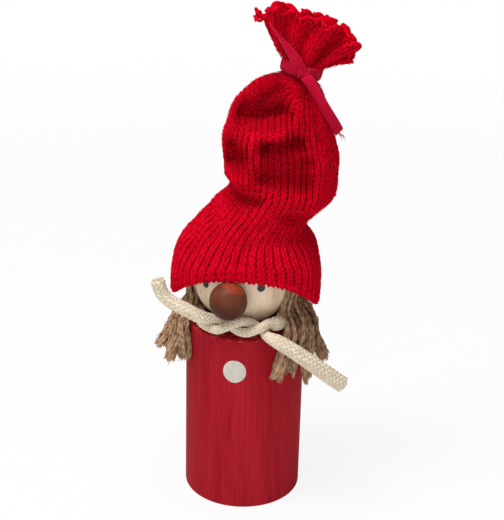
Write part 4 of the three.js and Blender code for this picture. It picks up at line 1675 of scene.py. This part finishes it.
    def surface(self) -> tuple[np.ndarray, int, int]:
        """The yarn's middle surface, by row and column, in the figure's frame.

        Returns:
            The grid, with sub steps to each course and rib, its first row above the rolled lip
            and its first row of the frill.
        """
        columns = self.ribs * self.sub
        last = len(self.sections()) - 1
        places = np.linspace(0, last, 150)
        rows = [self.hat_row(place, columns) for place in places]
        body = self.fold(np.array(rows))
        body = np.stack([even(body[:, column], len(body)) for column in range(columns)], 1)
        lip = self.lip_rows(body[0], body[1])
        up, _ = self.tie_axes()
        tie = [body[-1] + up * self.tie_width * share for share in (0.25, 0.5, 0.75)]
        frill = [self.frill_row(share, 0.0, columns) for share in np.linspace(0, 1, 30)]
        frill += [self.frill_row(1.0, curl, columns) for curl in (0.4, 0.7, 1.0)]
        grid = np.array([*lip, *body, *tie, *frill])
        steps = np.linalg.norm(np.diff(grid, axis=0), axis=2).mean(1)
        lengths = np.concatenate([[0], np.cumsum(steps)])
        courses = int(round(lengths[-1] / self.course))
        wanted = np.linspace(0, lengths[-1], courses * self.sub + 1)
        flat = grid.reshape(len(grid), -1)
        values = [np.interp(wanted, lengths, flat[:, i]) for i in range(flat.shape[1])]
        made = np.stack(values, 1).reshape(len(wanted), columns, 3)
        lip_end = int(np.searchsorted(wanted, lengths[len(lip)]))
        frill_start = int(np.searchsorted(wanted, lengths[len(lip) + len(body)]))
        return self.place(made), lip_end, frill_start

    def fold(self, grid: np.ndarray) -> np.ndarray:
        """Presses the creases into the hat below its tie.

        Args:
            grid: Points of the smooth hat, in rows and columns.

        Returns:
            Points of the folded hat.
        """
        _, _, normal = self.directions(grid)
        hollows = np.zeros(grid.shape[:2])
        ridges = np.zeros(grid.shape[:2])
        for crease in self.creases:
            facing = smoothstep(normal[..., 1] * crease.face.value, 0.05, 0.55)
            press = -crease.face.value * facing * crease.press(grid[..., 0], grid[..., 2])
            if crease.depth > 0:
                hollows += press
            else:
                ridges = np.minimum(ridges, press)
        pressed = hollows + ridges
        for _ in range(self.ease):
            pressed = (np.roll(pressed, 1, 1) + 2 * pressed + np.roll(pressed, -1, 1)) / 4
            pressed[1:-1] = (pressed[:-2] + 2 * pressed[1:-1] + pressed[2:]) / 4
        rows = np.arange(len(grid))
        calm = 1 - smoothstep(rows, len(grid) - 16, len(grid) - 3)[:, None]
        x, y, z = np.moveaxis(grid, -1, 0)
        wave = np.sin(x * 0.31 + z * 0.17) * np.sin(y * 0.27 - z * 0.21)
        lumps = 0.5 * wave * calm * smoothstep(rows, 0, 40)[:, None]
        out = grid + normal * lumps[..., None]
        limit = 0.8 * np.abs(grid[..., 1])
        out[..., 1] += np.clip(pressed * calm, -limit, limit)
        return out

    @staticmethod
    def directions(grid: np.ndarray) -> tuple[np.ndarray, np.ndarray, np.ndarray]:
        """Directions on a grid that closes on itself from side to side.

        Args:
            grid: Points of the cloth, in rows and columns.

        Returns:
            Directions across, along and out of the cloth at each point.
        """
        across = np.roll(grid, -1, 1) - np.roll(grid, 1, 1)
        along = np.gradient(grid, axis=0)
        return unit(across), unit(along), unit(np.cross(across, along))

    def backing(self, grid: np.ndarray, lip: int, frill: int) -> bpy.types.Object:
        """The cloth behind the stitches, as a closed shell, painted dark as shade except on the thin
        frill.

        Args:
            grid: Points of the yarn's middle surface, in rows and columns.
            lip: The first row above the rolled lip.
            frill: The first row of the frill.

        Returns:
            The cloth.
        """
        _, _, normal = self.directions(grid)
        rows, columns = grid.shape[:2]
        thin = smoothstep(np.arange(rows), frill, frill + 3 * self.sub)[:, None, None]
        rolled = 1 - smoothstep(np.arange(rows), lip, lip + 2 * self.sub)[:, None, None]
        outer = grid - normal * (0.5 - 0.05 * thin - 0.2 * rolled)
        inner = grid - normal * (self.wall - 1.0 * thin - (self.wall - 0.85) * rolled)
        skin = np.concatenate([inner[::-1], outer], 0)
        index = np.arange(2 * rows * columns).reshape(2 * rows, columns)
        nxt = np.roll(index, -1, 1)
        loops = np.concatenate([index, index[:1]], 0)
        loops_next = np.concatenate([nxt, nxt[:1]], 0)
        faces = np.stack([loops[:-1], loops_next[:-1], loops_next[1:], loops[1:]], -1)
        lay = np.zeros((2 * rows, columns, 3))
        lay[..., 0] = np.abs(np.arange(2 * rows) - rows)[:, None] * self.course / self.sub
        lay[..., 1] = np.arange(columns) / self.sub
        # Painted shade: a low tone under the stitches, lifted on the thin frill.
        tone = 0.1 + 0.9 * thin[:, 0, 0]
        lay[..., 2] = np.concatenate([tone[::-1], tone])[:, None]
        return mesh_piece("hat_backing", skin.reshape(-1, 3), faces.reshape(-1, 4), lay.reshape(-1, 3))

    @staticmethod
    def grain(segments: int, rings: int) -> tuple[np.ndarray, Faces]:
        """One leg of a stitch: a ball of radius 1 with its poles along Y.

        Args:
            segments: Faces round the poles.
            rings: Faces from pole to pole.

        Returns:
            The ball's points and faces.
        """
        deselect()
        bpy.ops.mesh.primitive_uv_sphere_add(segments=segments, ring_count=rings, radius=1.0)
        ball = bpy.context.object
        bpy.ops.object.mode_set(mode="EDIT")
        bpy.ops.mesh.select_all(action="SELECT")
        bpy.ops.transform.rotate(value=math.pi / 2, orient_axis="X", center_override=(0, 0, 0))
        bpy.ops.object.mode_set(mode="OBJECT")
        verts = np.array([vertex.co for vertex in ball.data.vertices])
        faces = [list(polygon.vertices) for polygon in ball.data.polygons]
        bpy.data.objects.remove(ball)
        return verts, faces

    def stitches(
        self,
        name: str,
        grain: tuple[np.ndarray, Faces],
        centres: np.ndarray,
        axes: tuple[np.ndarray, np.ndarray, np.ndarray],
        halves: tuple[np.ndarray, np.ndarray, np.ndarray],
        tone: np.ndarray,
    ) -> bpy.types.Object:
        """Copies a grain to many places as one piece.

        Args:
            name: The piece's name.
            grain: The grain's points and faces.
            centres: Where each copy goes.
            axes: Directions across, along and out of each copy.
            halves: Half sizes in those directions.
            tone: The lightness of each copy, from 0 to 1.

        Returns:
            The piece.
        """
        shape, shape_faces = grain
        verts = centres[:, None, :]
        for i in range(3):
            reach = halves[i][:, None] * shape[None, :, i]
            verts = verts + axes[i][:, None, :] * reach[..., None]
        lay = np.zeros(verts.shape)
        lay[..., 0] = halves[1][:, None] * shape[None, :, 1]
        lay[..., 1] = np.arctan2(shape[:, 2], shape[:, 0])[None] / (2 * np.pi)
        lay[..., 2] = tone[:, None]
        count = len(shape)
        faces = [[v + i * count for v in face] for i in range(len(centres)) for face in shape_faces]
        return mesh_piece(name, verts.reshape(-1, 3), faces, lay.reshape(-1, 3))

    def hollow(self, grid: np.ndarray, normal: np.ndarray) -> np.ndarray:
        """How deep in a fold each point of the cloth lies, as the mask for the painted shade in the
        stitches' tone.

        Args:
            grid: Points of the cloth, in rows and columns.
            normal: The cloth's normals at those points.

        Returns:
            0 on the open cloth up to 1 at the bottom of a deep fold.
        """
        own = (grid - [0, 0, self.centre_height]) @ self.spin()
        deep = np.zeros(grid.shape[:2])
        for crease in self.creases:
            if crease.depth > 0:
                facing = smoothstep(normal[..., 1] * crease.face.value, -0.25, 0.35)
                deep += facing * crease.press(own[..., 0], own[..., 2])
        return smoothstep(deep, 0.8, 5.6)

    def knit(self, grid: np.ndarray, lip: int) -> list[bpy.types.Object]:
        """The stitches: a column of V stitches on each rib and short bars in the gaps between ribs,
        with painted shade in the gaps and the folds.

        Args:
            grid: Points of the yarn's middle surface, in rows and columns.
            lip: The first row above the rolled lip.

        Returns:
            The cuff's stitches, the top's stitches and the bars.
        """
        rng = np.random.default_rng(self.seed)
        across, along, normal = self.directions(grid)
        # Painted shade: stitches and bars deep in the folds get a darker tone.
        shaded = 1 - self.painted_fold_shade * self.hollow(grid, normal)
        sub = self.sub
        rows = np.arange(sub // 2, grid.shape[0] - 1, sub)
        rib_columns = np.arange(self.ribs) * sub + sub // 2
        gap_columns = np.arange(self.ribs) * sub
        beside = np.roll(grid, -sub // 2, 1) - np.roll(grid, sub // 2, 1)
        pitch_u = np.linalg.norm(beside, axis=2)
        ahead = grid[np.minimum(rows + sub // 2, grid.shape[0] - 1)]
        pitch_v = np.linalg.norm(ahead - grid[rows - sub // 2], axis=2)
        leg = self.grain(6, 5)
        bar = self.grain(5, 4)
        pieces = []
        half = len(rows) * 2 // 5
        halves = (("hat_knit_cuff", slice(0, half)), ("hat_knit_top", slice(half, len(rows))))
        dip = math.radians(self.leg_dip)
        for label, pick in halves:
            at = np.ix_(rows[pick], rib_columns)
            u, v, n = across[at], along[at], normal[at]
            width = pitch_u[at]
            height = pitch_v[pick][:, rib_columns]
            offset = np.minimum(self.leg_offset, self.leg_share * width)
            parts: list[list[np.ndarray]] = [[] for _ in range(8)]
            for hand in (1.0, -1.0):
                lean = math.radians(self.leg_lean) * hand
                leg_v = v * math.cos(lean) + u * math.sin(lean)
                leg_u = u * math.cos(lean) - v * math.sin(lean)
                leg_n = n * math.cos(dip) - leg_v * math.sin(dip)
                leg_v = leg_v * math.cos(dip) + n * math.sin(dip)
                jitter = rng.normal(0, 0.06, (*width.shape, 3))
                made = (
                    (grid[at] + u * (hand * offset)[..., None] + jitter).reshape(-1, 3),
                    leg_u.reshape(-1, 3),
                    leg_v.reshape(-1, 3),
                    leg_n.reshape(-1, 3),
                    (offset * 1.15).ravel(),
                    (height * 0.9).ravel(),
                    np.minimum(0.8, offset * 1.2).ravel(),
                    rng.uniform(0.35, 0.9, width.size) * shaded[at].ravel(),
                )
                for part, values in zip(parts, made):
                    part.append(values)
            joined = [np.concatenate(part) for part in parts]
            axes = (joined[1], joined[2], joined[3])
            pieces.append(self.stitches(label, leg, joined[0], axes, tuple(joined[4:7]), joined[7]))
        at = np.ix_(rows, gap_columns)
        width = pitch_u[at].ravel()
        near_lip = np.repeat(1 - smoothstep(rows, lip, lip + 3 * sub), self.ribs)
        sunk = (self.gap_depth - 0.28 * near_lip)[:, None] * normal[at].reshape(-1, 3)
        centres = grid[at].reshape(-1, 3) - sunk
        axes = tuple(part[at].reshape(-1, 3) for part in (along, across, normal))
        tall = pitch_v[:, gap_columns].ravel()
        halves = ((0.3 + 0.2 * near_lip) * tall, 0.34 * width, np.full(width.size, 0.42))
        # Painted shade: the bars in the gaps get a lower tone than the stitches, raised near the lip
        # where the gaps are shallow.
        tone = (rng.uniform(0.1, 0.5, width.size) + 0.3 * near_lip) * shaded[at].ravel()
        pieces.append(self.stitches("hat_knit_gaps", bar, centres, axes, halves, tone))
        return pieces

    def edge_loops(self, grid: np.ndarray) -> bpy.types.Object:
        """Small loops of yarn along the frill's raw edge, and the curl at its left tip.

        Args:
            grid: Points of the yarn's middle surface, in rows and columns.

        Returns:
            The loops.
        """
        rng = np.random.default_rng(self.seed + 1)
        across, along, normal = (part[-1] for part in self.directions(grid))
        turns = np.linspace(-0.2, 1.2, 9) * np.pi
        cosines, sines = np.cos(turns), np.sin(turns)
        lines = []
        columns = grid.shape[1]
        for i in range(self.loop_count):
            column = int((i + rng.uniform(-0.3, 0.3)) * columns / self.loop_count) % columns
            size = rng.uniform(0.7, 1.5)
            tall = size * rng.uniform(0.8, 1.7)
            up = along[column] * 0.6 + normal[column] * rng.normal(0.1, 0.5)
            up = unit(unit(up + across[column] * rng.normal(0, 0.4)) + np.array([0, 0, 0.5]))
            wide = unit(across[column] + normal[column] * rng.normal(0, 0.6))
            base = grid[-1, column] - along[column] * 0.5
            lines.append(base + np.outer(cosines, wide) * size + np.outer(sines, up) * tall)
        size, tall = self.curl_size
        for number in range(self.curl_loops + self.neck_loops):
            share = max(0, number + 1 - self.curl_loops) / self.neck_loops
            local = np.array(self.curl_tip) + share * np.array(self.neck_run)
            start = self.place(local + rng.normal(0, 0.8 - 0.4 * share, 3))
            wide, up = unit(rng.normal(0, 1, 3)), unit(rng.normal(0, 1, 3))
            lines.append(start + np.outer(cosines, wide) * size + np.outer(sines, up) * tall)
        lines = np.array(lines)
        half = np.full(lines.shape[:2], self.loop_half)
        return self.thread_piece("hat_edge_loops", lines, half, rng, 5)

    def thread_piece(
        self,
        name: str,
        lines: np.ndarray,
        half: np.ndarray,
        rng: np.random.Generator,
        sides: int,
    ) -> bpy.types.Object:
        """Loose threads as one piece, each with its own tone.

        Args:
            name: The piece's name.
            lines: Points by thread and step.
            half: Half thicknesses by thread and step.
            rng: The source of chance.
            sides: Points in a ring.

        Returns:
            The piece.
        """
        rings = tubes_along(lines, sides, half, half, (0.2, 0.9, 0.3))
        along = np.arange(lines.shape[1])[None, :, None] * 0.6
        lay = tube_lay(rings, along, rng.uniform(0.4, 1.0, (len(lines), 1, 1)))
        faces = tube_faces(len(lines), lines.shape[1], sides)
        return mesh_piece(name, rings.reshape(-1, 3), faces, lay)

    def fuzz(self, grid: np.ndarray) -> bpy.types.Object:
        """Fine loose fibres that soften the knit.

        Args:
            grid: Points of the yarn's middle surface, in rows and columns.

        Returns:
            The fibres.
        """
        rng = np.random.default_rng(self.seed + 2)
        across, along, normal = self.directions(grid)
        row = rng.integers(0, grid.shape[0], self.fuzz_count)
        column = rng.integers(0, grid.shape[1], self.fuzz_count)
        angle = rng.uniform(0, 2 * np.pi, (self.fuzz_count, 1))
        lie = across[row, column] * np.cos(angle) + along[row, column] * np.sin(angle)
        out = normal[row, column]
        size = rng.uniform(0.7, 1.7, (self.fuzz_count, 1))
        base = grid[row, column] + out * 0.3
        rise = rng.uniform(0.1, 0.45, (self.fuzz_count, 1))
        far = base + lie * size + out * rise
        lines = np.stack([base - lie * size, base + out * rise * 1.6, far], 1)
        half = np.broadcast_to(np.array([0.05, 0.07, 0.03]), lines.shape[:2])
        return self.thread_piece("hat_fuzz", lines, half, rng, 3)

    def dress(self) -> None:
        """Builds the hat and sets its finishes."""
        grid, lip, frill = self.surface()
        backing = self.backing(grid, lip, frill)
        wool = self.yarn.material()
        settle(backing, Body.HAT, "hat_knit", self.under.material(), "knit_hat")
        extras = [*self.knit(grid, lip), self.edge_loops(grid), self.fuzz(grid)]
        for piece in extras:
            settle(piece, Body.HAT, "hat_knit", wool)
        around = np.linalg.norm(np.roll(grid, -1, 1) - grid, axis=2).sum(1).mean()


# Ribbon


@dataclass
class Ribbon:
    """The woven ribbon tied round the gather, in millimetres in the hat's own frame."""

    hat: Hat
    width: float = 4.2
    thickness: float = 0.35
    across_steps: int = 6
    look: WovenRibbon = WovenRibbon()
    fray_look: DotPaint = DotPaint(
        "ribbon_fray_thread", linear(228, 190, 192), linear(196, 110, 122), 0.7
    )
    tail_start: Point = (0.6, -0.5, -0.8)
    tail_points: Points = (
        (21.8, -10.2, 86.0),
        (25.1, -11.7, 81.3),
        (28.8, -12.0, 75.3),
        (32.6, -10.6, 69.2),
        (35.6, -8.6, 63.6),
    )
    tail_sides: Points = ((0.95, -0.1, 0.35),) * 2 + ((0.9, -0.3, 0.4),) * 4
    tail_slant: float = 2.4
    stub_start: Point = (-0.2, -0.6, 0.6)
    stub_points: Points = (
        (17.0, -9.3, 93.2),
        (14.2, -8.4, 97.0),
        (10.9, -6.6, 101.0),
        (6.6, -4.4, 106.2),
    )
    stub_sides: Points = (
        (0.75, 0.1, 0.65),
        (0.7, 0.3, 0.6),
        (0.6, 0.6, 0.5),
        (0.45, 0.85, 0.4),
        (0.35, 0.9, 0.3),
    )
    stub_widths: tuple[float, ...] = (0.9, 1.0, 0.8, 0.45, 0.12)
    fray_count: int = 8
    fray_start: Point = (34.4, -8.9, 64.4)
    fray_aim: Point = (0.75, 0.05, -0.65)
    fray_halves: Point = (0.17, 0.15, 0.1)
    seed: int = 3

    def strip(
        self,
        name: str,
        points: Points,
        sides: Points,
        bow: float = 0.25,
        slant: float = 0.0,
        widths: Sequence[float] = (1.0, 1.0),
    ) -> bpy.types.Object:
        """A strip of ribbon along points.

        Args:
            name: The piece's name.
            points: The strip's middle line.
            sides: The direction of its width at each of the points.
            bow: How far its middle stands up across the width.
            slant: How far one corner of its far end is cut back.
            widths: Shares of the full width along the strip.

        Returns:
            The strip with its thickness.
        """
        line = catmull(points, 10)
        spans = np.linspace(0, len(points) - 1, len(line))
        knots = np.arange(len(points))
        wanted = np.stack([np.interp(spans, knots, values) for values in np.array(sides).T], 1)
        ahead = unit(np.gradient(line, axis=0))
        across = unit(wanted - ahead * np.sum(wanted * ahead, 1, keepdims=True))
        out = np.cross(ahead, across)
        lengths = run_lengths(line)
        share = np.linspace(-0.5, 0.5, self.across_steps)
        wide = np.interp(lengths / lengths[-1], np.linspace(0, 1, len(widths)), widths) * self.width
        verts = line[:, None] + across[:, None] * (share * wide[:, None])[..., None]
        verts = verts + out[:, None] * (bow * (0.25 - share**2) * 4)[:, None]
        cut = slant * (share + 0.5)
        reach = smoothstep(lengths / lengths[-1], 0.6, 1.0)[:, None] * cut
        verts = verts - ahead[:, None] * reach[..., None]
        index = np.arange(len(line) * self.across_steps).reshape(len(line), -1)
        faces = np.stack([index[:-1, :-1], index[1:, :-1], index[1:, 1:], index[:-1, 1:]], -1)
        lay = np.zeros(verts.shape)
        lay[..., 0] = lengths[:, None]
        lay[..., 1] = share + 0.5
        deselect()
        placed = self.hat.place(verts.reshape(-1, 3))
        piece = mesh_piece(name, placed, faces.reshape(-1, 4), lay.reshape(-1, 3))
        piece.select_set(True)
        apply_modifier(piece, "SOLIDIFY", thickness=self.thickness * MM, offset=0.0)
        return piece

    def band(self) -> bpy.types.Object:
        """Two wraps round the gather.

        Returns:
            The band.
        """
        up, side = self.hat.tie_axes()
        points, sides = [], []
        for angle in np.radians(np.linspace(-95, 265 + 360, 49)):
            wrap = (angle + math.pi / 2) / (2 * math.pi)
            out = 0.75 + 0.3 * wrap
            height = 1.5 + 0.6 * wrap - 0.5 * math.sin(angle)
            centre = np.array(self.hat.gather) + up * height
            centre = centre + side * (self.hat.gather_half_width + out) * math.cos(angle)
            back = (self.hat.gather_half_depth + out) * math.sin(angle)
            points.append(centre + np.array([0, back, 0]))
            sides.append(up)
        return self.strip("ribbon_band", points, sides, 0.15)

    def knot_base(self) -> np.ndarray:
        """Where the ribbon is knotted, on the front of the gather."""
        up, _ = self.hat.tie_axes()
        return np.array(self.hat.gather) + up * 1.9 + [0.6, -self.hat.gather_half_depth - 1.8, 0]

    def knot(self) -> bpy.types.Object:
        """The fold of ribbon over the knot.

        Returns:
            The fold.
        """
        points, sides = [], []
        for angle in np.radians(np.linspace(-125, 125, 9)):
            offset = [0.9 * math.sin(angle), -1.7 * math.cos(angle) + 0.7, 2.2 * math.sin(angle)]
            points.append(self.knot_base() + offset)
            sides.append((1.0, 0.0, -0.45))
        widths = (0.75, 0.9, 1.0, 0.9, 0.75)
        return self.strip("ribbon_knot", points, sides, 0.4, widths=widths)

    def core(self) -> bpy.types.Object:
        """The ribbon folded up inside the knot."""
        verts, faces = self.hat.grain(14, 9)
        verts = self.hat.place(self.knot_base() + [0.0, 0.5, 0.0] + verts * [1.4, 0.9, 1.8])
        return mesh_piece("ribbon_core", verts, faces, np.full(verts.shape, 0.4))

    def tails(self) -> list[bpy.types.Object]:
        """The long tail with its slanted end and the short one that stands against the frill.

        Returns:
            The long tail and the short one.
        """
        base = self.knot_base()
        long = [base + self.tail_start, *self.tail_points]
        short = [base + self.stub_start, *self.stub_points]
        tail = self.strip("ribbon_tail", long, self.tail_sides, 0.2, self.tail_slant)
        stub = self.strip("ribbon_stub", short, self.stub_sides, 0.2, widths=self.stub_widths)
        return [tail, stub]

    def fray(self) -> bpy.types.Object:
        """Pale threads at the long tail's cut end.

        Returns:
            The threads.
        """
        rng = np.random.default_rng(self.seed)
        lines = []
        for number in range(self.fray_count):
            start = np.array(self.fray_start) + rng.normal(0, 0.35, 3)
            aim = np.array(self.fray_aim) + rng.normal(0, 0.14, 3)
            length = rng.uniform(1.6, 3.0) if number else 4.2
            end = start + aim * length + rng.normal(0, 0.25, 3)
            lines.append([start, start + aim * length * 0.5, end])
        lines = self.hat.place(np.array(lines))
        half = np.broadcast_to(np.array(self.fray_halves), lines.shape[:2])
        rings = tubes_along(lines, 4, half, half, (0.1, 0.95, 0.2))
        return mesh_piece("ribbon_fray", rings.reshape(-1, 3), tube_faces(len(lines), 3, 4))

    def dress(self) -> None:
        """Builds the ribbon's pieces and sets their finish."""
        look = self.look.material()
        settle(self.band(), Body.HAT, "ribbon_red", look, "tie_ribbon")
        for piece in (self.knot(), self.core(), *self.tails()):
            settle(piece, Body.HAT, "ribbon_red", look)
        settle(self.fray(), Body.HAT, "ribbon_red", self.fray_look.material())


# Studio


@dataclass(frozen=True)
class Lamp:
    """A square lamp, in metres and watts."""

    name: str
    place: Point
    size: float
    power: float

    def add(self, aim: Point) -> None:
        """Adds the lamp to the scene.

        Args:
            aim: The point that it faces.
        """
        data = bpy.data.lights.new(self.name, "AREA")
        data.size = self.size
        data.energy = self.power
        lamp = bpy.data.objects.new(self.name, data)
        lamp.location = self.place
        ahead = Vector(aim) - Vector(self.place)
        lamp.rotation_euler = ahead.to_track_quat("-Z", "Y").to_euler()
        bpy.context.scene.collection.objects.link(lamp)


@dataclass
class Studio:
    """The floor, the light and the camera of the picture."""

    frame_height: int = 520
    focal_pixels: float = 1300.0
    azimuth: float = 9.0
    pitch: float = 23.1
    roll: float = 1.42
    distance: float = 539.8
    aim_across: float = 2.14
    aim_height: float = 105.0
    sensor: float = 36.0
    world_light: float = 0.2
    lamp_aim: Point = (0.0, 0.0, 0.11)
    lamps: tuple[Lamp, ...] = (
        Lamp("key_lamp", (-0.36, -0.3, 1.15), 0.4, 8.6),
        Lamp("fill_lamp", (0.8, -0.7, 0.4), 0.8, 1.3),
        Lamp("front_lamp", (-0.2, -1.2, 0.4), 0.5, 3.4),
        Lamp("top_lamp", (0.0, 0.0, 1.2), 0.6, 4.0),
    )

    def camera(self) -> None:
        """Sets the camera at the photograph's angle."""
        azimuth, pitch, roll = (math.radians(v) for v in (self.azimuth, self.pitch, self.roll))
        right = Vector((math.cos(azimuth), math.sin(azimuth), 0))
        ahead = Vector((-math.sin(azimuth), math.cos(azimuth), 0))
        look = ahead * math.cos(pitch) - Vector((0, 0, math.sin(pitch)))
        up = ahead * math.sin(pitch) + Vector((0, 0, math.cos(pitch)))
        eye = right * self.aim_across + Vector((0, 0, self.aim_height)) - look * self.distance
        x_axis = right * math.cos(roll) + up * math.sin(roll)
        y_axis = up * math.cos(roll) - right * math.sin(roll)
        data = bpy.data.cameras.new("photo_camera")
        data.sensor_width = self.sensor
        data.lens = self.focal_pixels / self.frame_height * self.sensor
        data.clip_start = 0.01
        camera = bpy.data.objects.new("photo_camera", data)
        turn = Matrix((x_axis, y_axis, -look)).transposed().to_4x4()
        camera.matrix_world = Matrix.Translation(eye * MM) @ turn
        bpy.context.scene.collection.objects.link(camera)
        bpy.context.scene.camera = camera

    def world(self) -> None:
        """A white surround that also fills the shade."""
        world = bpy.data.worlds.new("studio")
        world.use_nodes = True
        tree = world.node_tree
        tree.nodes.clear()
        path = tree.nodes.new("ShaderNodeLightPath")
        seen = Sock(tree, path.outputs["Is Camera Ray"])
        shine = Sock(tree, path.outputs["Is Glossy Ray"])
        through = Sock(tree, path.outputs["Is Transmission Ray"])
        shown = seen.math("MINIMUM", seen + shine + through, 1.0)
        sky = tree.nodes.new("ShaderNodeBackground")
        sky.inputs["Color"].default_value = (1, 1, 1, 1)
        plug(tree, sky.inputs["Strength"], self.world_light + (1 - self.world_light) * shown)
        output = tree.nodes.new("ShaderNodeOutputWorld")
        tree.links.new(sky.outputs[0], output.inputs["Surface"])
        bpy.context.scene.world = world

    def floor(self) -> None:
        """A plain white floor that keeps a soft shadow."""
        deselect()
        bpy.ops.mesh.primitive_plane_add(size=6.0)
        floor = named("floor")
        make = Shader("floor_white")
        path = make.node("ShaderNodeLightPath", out="Is Camera Ray")
        tree = make.tree
        matte = make.node("ShaderNodeBsdfDiffuse", None, {"Color": (0.9, 0.9, 0.9, 1)})
        glow = make.node("ShaderNodeEmission", None, {"Color": (1, 1, 1, 1), "Strength": 1.0})
        far = make.node("ShaderNodeVectorMath", {"operation": "LENGTH"}, {0: make.place()}, "Value")
        share = path * make.ramp(far, 0.25, 0.8, 0.86, 1.0)
        both = make.node("ShaderNodeMixShader", None, {0: share, 1: matte, 2: glow})
        output = tree.nodes.new("ShaderNodeOutputMaterial")
        tree.links.new(both.socket, output.inputs["Surface"])
        floor.data.materials.append(make.material)

    def dress(self) -> None:
        """Sets the whole studio."""
        self.camera()
        self.world()
        self.floor()
        for lamp in self.lamps:
            lamp.add(self.lamp_aim)
        bpy.context.scene.view_settings.view_transform = "Standard"


def main() -> None:
    """Builds the figure's pieces in order."""
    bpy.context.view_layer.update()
    Studio().dress()
    Scarf().dress()
    BodyBlock().dress()
    Head().dress()
    Hair().dress()
    hat = Hat()
    hat.dress()
    Ribbon(hat).dress()


if __name__ == "__main__":
    main()
